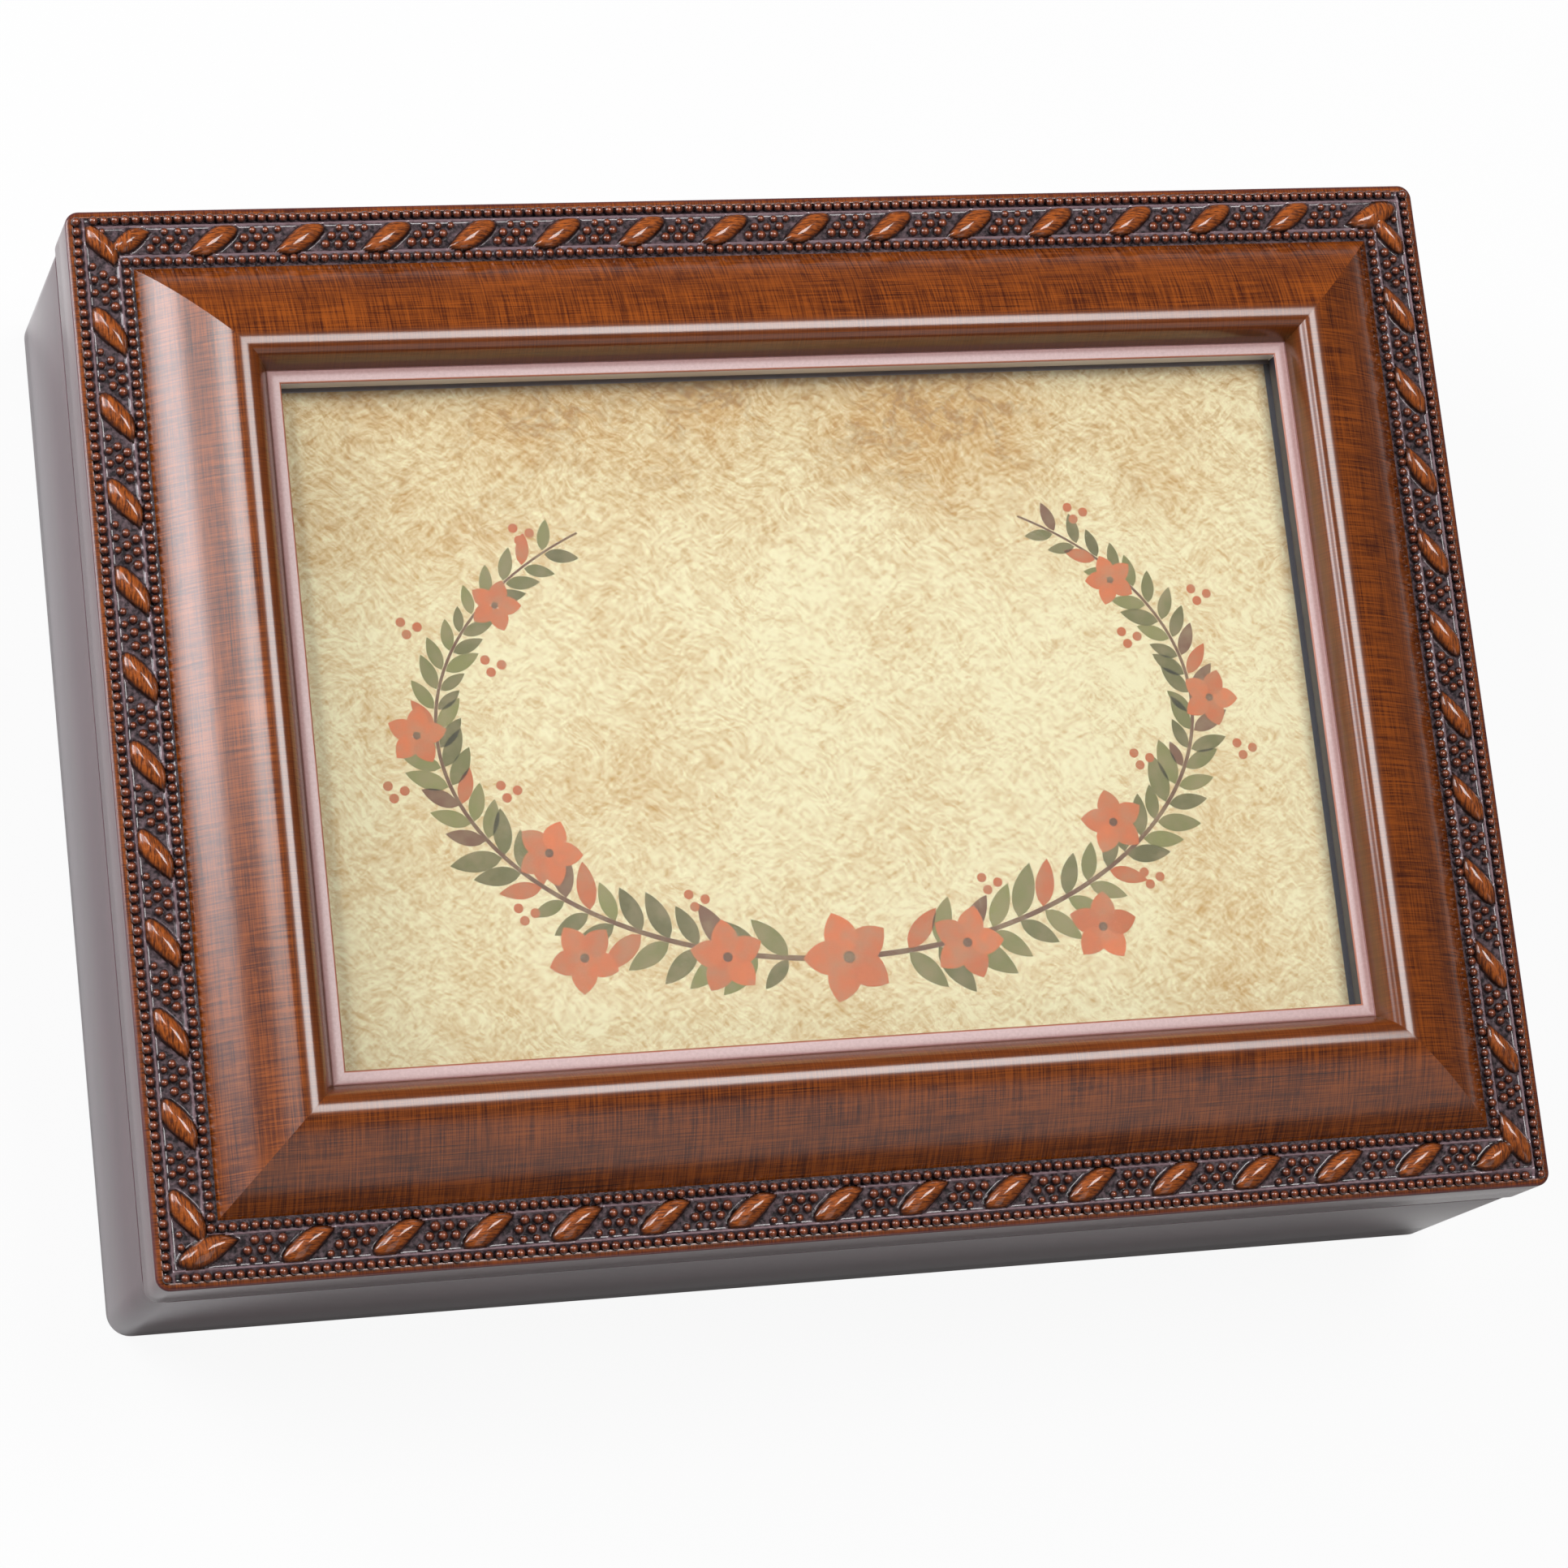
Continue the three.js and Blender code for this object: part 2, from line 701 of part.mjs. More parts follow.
// Bearings of the cylinder: the left one steps over the part of the barrel's flange that passes it
const flangeChord = Math.sqrt(flangeRadius ** 2 - (leftBearingStart - barrelU) ** 2);
const archInner = flangeChord + runningGap;
const archOuter = archInner + 2 * bearingThickness;
const archShape = new THREE.Shape([
  new THREE.Vector2(cylinderV - archOuter, bedplateTop),
  new THREE.Vector2(cylinderV - archInner, bedplateTop),
  new THREE.Vector2(cylinderV - archInner, crownTop + runningGap),
  new THREE.Vector2(cylinderV + archInner, crownTop + runningGap),
  new THREE.Vector2(cylinderV + archInner, bedplateTop),
  new THREE.Vector2(cylinderV + archOuter, bedplateTop),
  new THREE.Vector2(cylinderV + archOuter, shaftHeight - bearingThickness),
  new THREE.Vector2(cylinderV + archInner / 2, bearingTop),
  new THREE.Vector2(cylinderV - archInner / 2, bearingTop),
  new THREE.Vector2(cylinderV - archOuter, shaftHeight - bearingThickness),
]);
const leftBearing = standingPlate(archShape, [leftBearingStart, leftBearingEnd]);
const leftBore = bar(
  "x",
  arborRadius + runningGap,
  [leftBearingStart - overrun, leftBearingEnd + overrun],
  [cylinderV, shaftHeight],
  smallSides,
);
add(movement, "bearing_left", cut(leftBearing, leftBore), casting);

const bearingFrontV = cylinderV - 2 * bearingThickness;
const bearingBackV = pinionV + 2 * bearingThickness;
const rightBearing = block(
  [rightBearingStart, rightBearingEnd],
  [bearingFrontV, bearingBackV],
  [bedplateTop, bearingTop],
);
const rightBores = [cylinderV, pinionV].map((v) =>
  bar(
    "x",
    arborRadius + runningGap,
    [rightBearingStart - overrun, rightBearingEnd + overrun],
    [v, shaftHeight],
    smallSides,
  ),
);
add(movement, "bearing_right", cut(rightBearing, ...rightBores), casting);

// Governor bracket: a post that carries the second shaft and an arm over the fan
const bracketShape = new THREE.Shape([
  new THREE.Vector2(governorV - bracketWidth / 2, bedplateTop),
  new THREE.Vector2(bearingBackV, bedplateTop),
  new THREE.Vector2(bearingBackV, bearingTop),
  new THREE.Vector2(governorV + bracketWidth / 2, bearingTop + bearingThickness),
  new THREE.Vector2(governorV + bracketWidth / 2, movementHeight),
  new THREE.Vector2(governorV - bracketWidth / 2, movementHeight),
]);
const bracketArm = block(
  [governorU - bracketWidth / 2, bracketPostU + bracketThickness / 2],
  [governorV - bracketWidth / 2, governorV + bracketWidth / 2],
  [armBottom, movementHeight],
);
const bracketBore = bar(
  "x",
  arborRadius + runningGap,
  [bracketPostU - overrun, bracketPostU + bracketThickness + overrun],
  [pinionV, shaftHeight],
  smallSides,
);
const bracketPost = standingPlate(bracketShape, [bracketPostU, bracketPostU + bracketThickness]);
add(movement, "governor_bracket", cut(join(bracketPost, bracketArm), bracketBore), casting);

// Spring barrel: a cup with a flange whose teeth stand up and drive the cylinder's wheel
function springBarrel() {
  const hole = windingArborRadius + runningGap;
  const rim = barrelTop - barrelWallThickness;
  const profile = [
    [hole, barrelBottom],
    [flangeRadius, barrelBottom],
    [flangeRadius, barrelBottom + flangeThickness],
    [barrelRadius, barrelBottom + flangeThickness],
    [barrelRadius, rim],
    [barrelRadius - barrelWallThickness, rim],
    [barrelRadius - barrelWallThickness, barrelBottom + barrelWallThickness],
    [hole, barrelBottom + barrelWallThickness],
    [hole, barrelBottom],
  ].map(([r, z]) => new THREE.Vector2(r, z));
  const cup = new THREE.LatheGeometry(profile, crownTeeth).rotateX(Math.PI / 2);
  const width = ((2 * Math.PI * flangeRadius) / crownTeeth) * crownToothShare;
  const teeth = [];
  for (let i = 0; i < crownTeeth; i += 1) {
    const tooth = block(
      [flangeRadius - crownToothLength - runningGap, flangeRadius - runningGap],
      [-width / 2, width / 2],
      [barrelBottom + flangeThickness / 2, crownTop],
    );
    teeth.push(tooth.rotateZ((2 * Math.PI * i) / crownTeeth));
  }
  return join(cup, ...teeth).translate(barrelU, cylinderV, 0);
}
add(movement, "spring_barrel", springBarrel(), brass);

const capHeights = [barrelTop - barrelWallThickness, barrelTop];
const barrelCap = cut(
  bar("z", barrelRadius, capHeights, [barrelU, cylinderV], crownTeeth),
  bar(
    "z",
    windingArborRadius + runningGap,
    [capHeights[0] - overrun, capHeights[1] + overrun],
    [barrelU, cylinderV],
  ),
);
add(movement, "barrel_cap", barrelCap, brass);

// Mainspring: a flat strip wound in an even spiral inside the barrel
function mainspring() {
  const inner = windingArborRadius + 2 * runningGap + springThickness;
  const outer = barrelRadius - barrelWallThickness - springEdgeGap;
  const steps = springTurns * springStepsPerTurn;
  const rail = (offset) =>
    Array.from({ length: steps + 1 }, (_, i) => {
      const angle = (2 * Math.PI * i) / springStepsPerTurn;
      const radius = inner + ((outer - inner) * i) / steps + offset;
      return new THREE.Vector2(radius * Math.cos(angle), radius * Math.sin(angle));
    });
  const outline = new THREE.Shape([...rail(0), ...rail(-springThickness).reverse()]);
  const z0 = barrelBottom + barrelWallThickness + springEdgeGap;
  const z1 = barrelTop - barrelWallThickness - springEdgeGap;
  return plate(outline, [z0, z1]).translate(barrelU, cylinderV, 0);
}
add(movement, "mainspring", mainspring(), steel);

// Winding arbor and the key below the bottom panel
const keyTop = -panelThickness - keyPanelGap;
const arborShank = [keyTop - keyHubHeight, barrelTop + windingArborStandout];
const keyBore = [keyTop - keyHubHeight - seatGap, keyTop + overrun];
add(
  movement,
  "winding_arbor",
  bar("z", windingArborRadius, arborShank, [barrelU, cylinderV]),
  steel,
);

function windingKey() {
  const hubBottom = keyTop - keyHubHeight - keyWingThickness;
  const hub = bar("z", keyHubRadius, [hubBottom, keyTop], [0, 0]);
  const wingRadius = keyWingHeight / 2;
  const wingCentre = keyTop - keyHubHeight - wingRadius;
  const lobe = keyWingSpan / 2 - wingRadius;
  const waist = keyHubRadius / 2;
  const wings = new THREE.Shape();
  wings.moveTo(-waist, wingCentre + wingRadius);
  wings.absarc(-lobe, wingCentre, wingRadius, Math.PI / 2, 1.5 * Math.PI);
  wings.lineTo(-waist, wingCentre - waist);
  wings.lineTo(waist, wingCentre - waist);
  wings.absarc(lobe, wingCentre, wingRadius, -Math.PI / 2, Math.PI / 2);
  wings.lineTo(waist, wingCentre + wingRadius);
  wings.closePath();
  const blade = plate(wings, [-keyWingThickness / 2, keyWingThickness / 2], 2 * cornerSteps);
  const bore = bar("z", windingArborRadius + seatGap, keyBore, [0, 0]);
  return cut(join(hub, blade.rotateX(Math.PI / 2)), bore).translate(barrelU, cylinderV, 0);
}
add(movement, "winding_key", windingKey(), brass);

// A toothed wheel on a shaft along u
function wheelOnShaft(shape, [from, to], v, phase = 0) {
  return standingPlate(shape, [0, to - from])
    .rotateX(phase)
    .translate(from, v, shaftHeight);
}

// Pinned cylinder, its arbor and its two wheels
const boreRadius = arborRadius + seatGap;
const cylinderAt = [cylinderV, shaftHeight];
const cylinderBore = (from, to) =>
  bar("x", boreRadius, [from - overrun, to + overrun], cylinderAt, smallSides);
const drum = bar("x", cylinderRadius, [cylinderStart, cylinderEnd], cylinderAt, 2 * roundSides);
add(movement, "pinned_cylinder", cut(drum, cylinderBore(cylinderStart, cylinderEnd)), brass);
const cylinderArbor = bar(
  "x",
  arborRadius,
  [leftBearingStart, rightBearingEnd],
  cylinderAt,
  smallSides,
);
add(movement, "cylinder_arbor", cylinderArbor, steel);
const wheelShape = gearShape(
  wheelTeeth,
  wheelRadius - wheelToothDepth,
  wheelRadius,
  toothRootShare,
  toothTipShare,
);
const cylinderWheel = cut(
  wheelOnShaft(wheelShape, [wheelStart, wheelEnd], cylinderV),
  cylinderBore(wheelStart, wheelEnd),
);
add(movement, "cylinder_wheel", cylinderWheel, brass);
const cylinderGearShape = gearShape(
  gearTeeth,
  gearRadius - gearDedendum,
  gearRadius + gearAddendum,
  toothRootShare,
  toothTipShare,
);
const cylinderGear = cut(
  wheelOnShaft(cylinderGearShape, [gearStart, gearEnd], cylinderV),
  cylinderBore(gearStart, gearEnd),
);
add(movement, "cylinder_gear", cylinderGear, brass);

// Second shaft: the pinion meshes with the cylinder's gear, and its worm wheel turns the governor
const pinionShape = gearShape(
  pinionTeeth,
  pinionRadius - gearDedendum,
  pinionRadius + gearAddendum,
  toothRootShare,
  toothTipShare,
);
const halfTooth = Math.PI / pinionTeeth;
const wormWheelShape = gearShape(
  wormWheelTeeth,
  wormWheelRadius - wormWheelToothDepth,
  wormWheelRadius,
  toothRootShare,
  toothTipShare,
);
const wormWheelSpan = [governorU - gearThickness / 2, governorU + gearThickness / 2];
const secondShaft = join(
  wheelOnShaft(pinionShape, [gearStart, gearEnd], pinionV, halfTooth),
  bar("x", arborRadius, [gearEnd, bracketPostU + bracketThickness], [pinionV, shaftHeight], smallSides),
  wheelOnShaft(wormWheelShape, wormWheelSpan, pinionV),
);
add(movement, "second_shaft", secondShaft, brass);

// Governor: an upright worm with a two-bladed fan that slows the music down
const governorAt = [governorU, governorV];
const governorHeights = [bedplateTop + runningGap, armBottom - runningGap];
const wormSpan = [shaftHeight - wormLength / 2, shaftHeight + wormLength / 2 - runningGap];
const governor = join(
  bar("z", governorShaftRadius, governorHeights, governorAt, smallSides),
  bar("z", wormRadius, wormSpan, governorAt, smallSides),
  block(
    [governorU - fanRadius, governorU + fanRadius],
    [governorV - fanThickness / 2, governorV + fanThickness / 2],
    [fanStart, fanEnd],
  ),
);
add(movement, "governor_fan", governor, steel);

// Stop rod: the closed lid holds it down, so that its flag stands beside the fan
function stopRod() {
  const reachU = governorU - stopRodU;
  const reachV = governorV - stopRodV;
  const reach = Math.hypot(reachU, reachV) - fanRadius - runningGap;
  const top = lidBottom + recessCeiling - runningGap - panelTop;
  const flag = block(
    [0, reach],
    [-stopFlagWidth / 2, stopFlagWidth / 2],
    [fanStart, fanStart + stopFlagThickness],
  ).rotateZ(Math.atan2(reachV, reachU));
  const rod = bar("z", stopRodRadius, [stopRodLead, top], [0, 0], smallSides);
  return join(rod, flag).translate(stopRodU, stopRodV, 0);
}
add(movement, "stop_rod", stopRod(), steel);

// Lid moulding, from the outer face inwards: side, rim, ornament band, cushion, channel, bead,
// cove and lip. Below it are the rabbet for glass, print and board, and the lid's recess.

// An arc through two points that bulges by the sagitta to the left of the way from one to the other
function bulge(path, from, to, sagitta) {
  const chord = to.clone().sub(from);
  const length = chord.length();
  const radius = length ** 2 / (8 * sagitta) + sagitta / 2;
  const normal = new THREE.Vector2(-chord.y, chord.x).normalize();
  const centre = from.clone().add(to).multiplyScalar(0.5).addScaledVector(normal, sagitta - radius);
  const start = from.clone().sub(centre).angle();
  const end = to.clone().sub(centre).angle();
  path.absarc(centre.x, centre.y, radius, start, end, true);
}

function arcPoints(draw, steps) {
  const path = new THREE.Path();
  draw(path);
  return path.getPoints(steps);
}

const cushionFrom = new THREE.Vector2(bandEnd, bandInnerHeight);
const cushionTo = new THREE.Vector2(ridgeInset, ridgeHeight);
const coveFrom = new THREE.Vector2(coveStart, beadBase - coveDrop);
const coveTo = new THREE.Vector2(coveEnd, coveFrom.y - coveHeight);
const lidSection = new THREE.Shape([
  new THREE.Vector2(0, 0),
  ...arcPoints(
    (path) => path.absarc(rimRadius, lidSideHeight, rimRadius, Math.PI, Math.PI / 2, true),
    cornerSteps,
  ),
  new THREE.Vector2(bandInset + rimRadius / 2, bandOuterHeight),
  ...arcPoints((path) => bulge(path, cushionFrom, cushionTo, cushionSagitta), cushionSteps / 2),
  new THREE.Vector2(ridgeInset + channelWidth, beadBase),
  ...arcPoints(
    (path) => path.absarc(beadCentre, beadBase, beadRadius, Math.PI, 0, true),
    beadSteps / 2,
  ).slice(1),
  ...arcPoints((path) => {
    path.moveTo(coveFrom.x, coveFrom.y);
    path.quadraticCurveTo(coveFrom.x, coveTo.y, coveTo.x, coveTo.y);
  }, coveSteps),
  new THREE.Vector2(coveTo.x, lipHeight),
  new THREE.Vector2(lipEnd, lipHeight),
  new THREE.Vector2(lipEnd, rabbetCeiling),
  new THREE.Vector2(railBackWidth, rabbetCeiling),
  new THREE.Vector2(railBackWidth, recessCeiling),
  new THREE.Vector2(wallThickness, recessCeiling),
  new THREE.Vector2(wallThickness, 0),
]);

// Places of the turn buttons along the front and back rails
const buttonPlaces = [
  { name: "left", x: -boxWidth / 2 + buttonCornerInset },
  { name: "right", x: boxWidth / 2 - buttonCornerInset },
];
const buttonPivotInset = railBackWidth - buttonEdge - buttonWidth / 2;
const buttonTop = recessCeiling - runningGap;
const screwTip = recessCeiling + buttonScrewLength;
const railTop = beadBase + beadRadius;

for (const { name, length, x, y, turn } of sides) {
  const limits = [-overrun, railTop + overrun];
  const rail = roundedStick(lidSection, length, lipEnd, lidCornerRadius, limits, 1);
  const tools = [];
  if (name === "back") {
    const mortiseTop = hingeLeafThickness + seatGap;
    tools.push(...hingePlaces.map((hinge) => leafMortise(hinge.x, [-overrun, mortiseTop])));
  }
  if (name === "front" || name === "back") {
    const hole = [recessCeiling - overrun, screwTip + runningGap];
    for (const button of buttonPlaces) {
      const at = [button.x, buttonPivotInset];
      tools.push(bar("z", buttonScrewRadius + seatGap, hole, at, smallSides));
    }
  }
  const shaped = tools.length ? cut(rail, ...tools) : rail;
  add(lid, `lid_rail_${name}`, shaped, walnut, [x, y, 0], turn);
}

// Glass, print and backing board, stacked in the rabbet
const stack = [
  { name: "cover_glass", thickness: glassThickness, material: clear },
  { name: "print_card", thickness: printThickness, material: parchment },
  { name: "backing_board", thickness: backingThickness, material: velvet },
];
let stackTop = rabbetCeiling;
for (const { name, thickness, material } of stack) {
  const sheet = block(
    [-printWidth / 2, printWidth / 2],
    [-printDepth / 2, printDepth / 2],
    [stackTop - thickness, stackTop],
  );
  add(lid, name, sheet, material);
  stackTop -= thickness;
}

// Turn buttons and their screws: a round end on the screw, the other end over the board
function turnButton() {
  const half = buttonWidth / 2;
  const outline = new THREE.Shape();
  outline.moveTo(-half, 0);
  outline.absarc(0, 0, half, Math.PI, 2 * Math.PI, false);
  outline.lineTo(half, buttonReach - half);
  outline.absarc(0, buttonReach - half, half, 0, Math.PI, false);
  outline.closePath();
  const hole = new THREE.Path();
  hole.absarc(0, 0, buttonScrewRadius + runningGap, 0, 2 * Math.PI, true);
  outline.holes.push(hole);
  return plate(outline, [buttonTop - buttonThickness, buttonTop]);
}

for (const { name: side, y, turn } of [sides[0], sides[2]]) {
  for (const { name: end, x } of buttonPlaces) {
    const inward = Math.sign(-y);
    const place = [x, y + inward * buttonPivotInset, 0];
    add(lid, `turn_button_${side}_${end}`, turnButton(), brass, place, turn);
    const headTop = buttonTop - buttonThickness - runningGap;
    const head = [headTop - buttonScrewHeadHeight, headTop];
    const shank = [headTop - buttonScrewHeadHeight / 2, screwTip];
    const screw = join(
      bar("z", buttonScrewHeadRadius, head, [0, 0]),
      bar("z", buttonScrewRadius, shank, [0, 0], smallSides),
    );
    add(lid, `turn_button_screw_${side}_${end}`, screw, brass, place);
  }
}

// Hinges: the outer knuckles are on the base's leaf, the middle one is on the lid's leaf
function hingeLeaf(knuckles, [z0, z1]) {
  const half = hingeLength / 2;
  const step = hingeLength / hingeKnuckles;
  const backFace = boxDepth / 2;
  let leaf = block([-half, half], [backFace - hingeLeafDepth, backFace], [z0, z1]);
  for (const i of knuckles) {
    const from = -half + i * step + (i > 0 ? hingeKnuckleGap / 2 : 0);
    const to = -half + (i + 1) * step - (i < hingeKnuckles - 1 ? hingeKnuckleGap / 2 : 0);
    leaf = join(
      leaf,
      block([from, to], [backFace - hingeLeafDepth / 2, hingeAxisY], [z0, z1]),
      bar("x", hingeBarrelRadius, [from, to], [hingeAxisY, hingeAxisZ]),
    );
  }
  const bore = [-half - overrun, half + overrun];
  return cut(
    leaf,
    bar("x", hingePinRadius + runningGap, bore, [hingeAxisY, hingeAxisZ], smallSides),
  );
}

const pinHalf = hingeLength / 2 + hingePinHeadLength + runningGap;
const hingePin = join(
  bar("x", hingePinRadius, [-pinHalf, pinHalf], [hingeAxisY, hingeAxisZ], smallSides),
  bar("x", hingePinHeadRadius, [-pinHalf, -pinHalf + hingePinHeadLength], [hingeAxisY, hingeAxisZ]),
  bar("x", hingePinHeadRadius, [pinHalf - hingePinHeadLength, pinHalf], [hingeAxisY, hingeAxisZ]),
);
for (const { name, x } of hingePlaces) {
  const baseLeaf = hingeLeaf([0, hingeKnuckles - 1], [baseTop - hingeLeafThickness, baseTop]);
  add(base, `hinge_${name}_base_leaf`, baseLeaf, brass, [x, 0, 0]);
  const lidLeaf = hingeLeaf([1], [lidBottom, lidBottom + hingeLeafThickness]);
  add(lid, `hinge_${name}_lid_leaf`, lidLeaf, brass, [x, 0, -lidBottom]);
  add(base, `hinge_${name}_pin`, hingePin, steel, [x, 0, 0]);
}

export default musicBox;
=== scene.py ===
# %% [markdown]
# # A wooden music box with a picture frame lid
# The box is a mitred case of dark stained boards under a lid that is a picture frame. The lid's
# moulding carries a cast band of beads and laurel leaves and a broad cushion that rolls over to a
# lip. Inside are velvet, two dividers and a wind-up comb movement. The exact solids come from the
# CAD model; this script gives them their looks, and every new piece is worked out in its frame.

# %% Frame
import math

import bmesh
import bpy
import numpy as np
from mathutils import Matrix, Vector


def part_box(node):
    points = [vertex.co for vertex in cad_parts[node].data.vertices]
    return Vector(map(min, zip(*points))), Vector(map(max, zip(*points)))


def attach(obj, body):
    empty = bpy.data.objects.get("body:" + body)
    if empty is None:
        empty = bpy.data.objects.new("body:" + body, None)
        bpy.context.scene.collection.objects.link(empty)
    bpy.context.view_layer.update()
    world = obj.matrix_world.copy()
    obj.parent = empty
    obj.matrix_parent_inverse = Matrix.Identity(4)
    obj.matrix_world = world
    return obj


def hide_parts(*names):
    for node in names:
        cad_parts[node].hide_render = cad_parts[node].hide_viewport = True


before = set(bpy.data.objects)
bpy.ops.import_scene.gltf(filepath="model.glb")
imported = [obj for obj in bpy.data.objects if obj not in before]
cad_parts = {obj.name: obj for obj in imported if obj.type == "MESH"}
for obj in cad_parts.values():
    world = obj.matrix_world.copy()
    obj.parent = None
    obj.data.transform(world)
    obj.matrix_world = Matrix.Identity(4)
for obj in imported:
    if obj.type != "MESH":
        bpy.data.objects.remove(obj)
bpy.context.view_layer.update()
MM = 0.001


def corners(node):
    """The lowest and the highest corner of a CAD node at rest, in millimetres."""
    low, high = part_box(node)
    return np.array(low) / MM, np.array(high) / MM


left, right = corners("lid_rail_left")[0][0], corners("lid_rail_right")[1][0]
front, back = corners("lid_rail_front")[0][1], corners("lid_rail_back")[1][1]
lid_bottom = corners("lid_rail_front")[0][2]
base_bottom, base_top = corners("base_front_wall")[0][2], corners("base_front_wall")[1][2]
width, depth = right - left, back - front
print(f"case {width:.1f} by {depth:.1f} mm, base {base_bottom:.1f} to {base_top:.1f} mm high")

# %% [markdown]
# ## Camera
# The picture was taken from high above the front left corner with a long lens. The place and turn
# of the camera were worked out from the corners of the case, so the render lines up with it.
# A computer vision camera looks along +Z with Y down, a Blender camera along -Z with Y up.

# %% Camera
focal_px, picture_px, fitted_width = 6449.6, 1932.0, 203.0
turn = Vector((2.8909, -0.1195, 0.3992))
seen_from = np.array((-211.01, -163.28, 743.92)) * width / fitted_width

camera = bpy.data.objects.new("camera", bpy.data.cameras.new("camera"))
bpy.context.scene.collection.objects.link(camera)
camera.data.sensor_width = 36.0
camera.data.lens = camera.data.sensor_width * focal_px / picture_px
to_camera = Matrix.Rotation(turn.length, 3, turn.normalized())
flip = Matrix.Diagonal((1.0, -1.0, -1.0))
middle = np.array(((left + right) / 2, (front + back) / 2, 0.0))
place = Matrix.Translation(Vector((seen_from + middle) * MM))
camera.matrix_world = place @ (to_camera.transposed() @ flip).to_4x4()
camera.data.clip_start, camera.data.clip_end = 0.05, 20.0
bpy.context.scene.camera = camera
print(f"lens {camera.data.lens:.1f} mm, camera at {[round(v, 3) for v in camera.location]}")

# %% [markdown]
# ## Shader maths
# A finish is a small program made of nodes. Writing it as a formula is easier to read than a list
# of links, so one class wraps a socket and gives it plus, minus and times; each sign adds one Math
# node. Everything else comes from a single method that adds a node of any kind.

# %% Shader maths
class Wire:
    """One output of a shader node; arithmetic on it adds Math nodes."""

    def __init__(self, finish, socket):
        self.finish, self.socket = finish, socket

    def maths(self, operation, a, b=0.0, c=0.0, clamp=False):
        settings = {"operation": operation, "use_clamp": clamp}
        return self.finish.node("ShaderNodeMath", settings, {0: a, 1: b, 2: c})

    def __add__(self, other):
        return self.maths("ADD", self, other)

    def __sub__(self, other):
        return self.maths("SUBTRACT", self, other)

    def __rsub__(self, other):
        return self.maths("SUBTRACT", other, self)

    def __mul__(self, other):
        return self.maths("MULTIPLY", self, other)

    def __abs__(self):
        return self.maths("ABSOLUTE", self)

    __radd__, __rmul__ = __add__, __mul__

    def between(self, low, high):
        """0 below low, 1 above high, a straight line between."""
        scale = 1.0 / (high - low)
        return self.maths("MULTIPLY_ADD", self, scale, -low * scale, clamp=True)

    def line(self, thin):
        """1 where the value crosses one half, 0 where it is one over thin or more away from it."""
        return (1.0 - abs(self - 0.5) * thin).between(0.0, 1.0)


class Finish:
    """One material with a Principled shader, whose plain sockets are set when it is made."""

    def __init__(self, name, **sockets):
        self.material = bpy.data.materials.new(name)
        self.material.use_nodes = True
        self.tree = self.material.node_tree
        self.shader = self.tree.nodes["Principled BSDF"]
        self.put(**sockets)

    def fill(self, socket, value):
        if isinstance(value, Wire):
            self.tree.links.new(value.socket, socket)
        else:
            socket.default_value = value

    def put(self, **sockets):
        """Fills the shader's sockets: base_color means Base Color, and so on."""
        for name, value in sockets.items():
            label = name.replace("_", " ").title().replace("Ior", "IOR")
            self.fill(self.shader.inputs[label], value)
        return self

    def node(self, kind, settings=None, inputs=None, out=0):
        """Adds a node of any kind: its settings first, then what goes into its sockets."""
        made = self.tree.nodes.new(kind)
        for key, value in (settings or {}).items():
            setattr(made, key, value)
        for key, value in (inputs or {}).items():
            self.fill(made.inputs[key], value)
        return Wire(self, made.outputs[out])

    def place(self, scale=(1.0, 1.0, 1.0), attribute=None):
        """Where a point lies, in millimetres times scale, in the frame or in a carried vector."""
        if attribute:
            here = self.node("ShaderNodeAttribute", {"attribute_name": attribute}, out="Vector")
            return self.stretched(here, scale)
        here = self.node("ShaderNodeTexCoord", out="Object")
        return self.stretched(here, tuple(s / MM for s in scale))

    def stretched(self, vector, factors):
        return self.node("ShaderNodeVectorMath", {"operation": "MULTIPLY"}, {0: vector, 1: factors})

    def rotated(self, vector, angle):
        inputs = {"Vector": vector, "Angle": angle}
        return self.node("ShaderNodeVectorRotate", {"rotation_type": "Z_AXIS"}, inputs)

    def axis(self, vector, number):
        """X, Y or Z of a vector, for number 0, 1 or 2."""
        return self.node("ShaderNodeSeparateXYZ", None, {0: vector}, number)

    def value(self, attribute):
        """A number that the piece carries on its points."""
        return self.node("ShaderNodeAttribute", {"attribute_name": attribute}, out="Fac")

    def noise(self, vector, scale=1.0, detail=3.0, roughness=0.5):
        inputs = {"Vector": vector, "Scale": scale, "Detail": detail, "Roughness": roughness}
        return self.node("ShaderNodeTexNoise", None, inputs)

    def grain(self, along, across, detail=3.0, roughness=0.6):
        """Noise on a stick, stretched: the smaller along is, the longer are its fibres."""
        return self.noise(self.place((along, across, 1.0), "grain"), 1.0, detail, roughness)

    def blend(self, a, b, share):
        """Colour a where share is 0 and colour b where it is 1."""
        settings = {"data_type": "RGBA", "clamp_factor": True}
        return self.node("ShaderNodeMix", settings, {0: share, 6: a, 7: b}, 2)

    def layered(self, colour, *layers):
        """A colour with layers of (colour, share) laid over it in turn."""
        for over, share in layers:
            colour = self.blend(colour, over, share)
        return colour

    def bump(self, height, depth, strength=1.0):
        """Small relief: height 0 to 1 stands for depth millimetres."""
        inputs = {"Strength": strength, "Distance": depth * MM, "Height": height}
        return self.node("ShaderNodeBump", None, inputs)


def tone(red, green, blue, alpha=1.0):
    """A colour written as on a screen, 0 to 255, as the linear light that shaders use."""
    shares = np.array((red, green, blue)) / 255.0
    linear = np.where(shares <= 0.04045, shares / 12.92, ((shares + 0.055) / 1.055) ** 2.4)
    return (*map(float, linear), alpha)


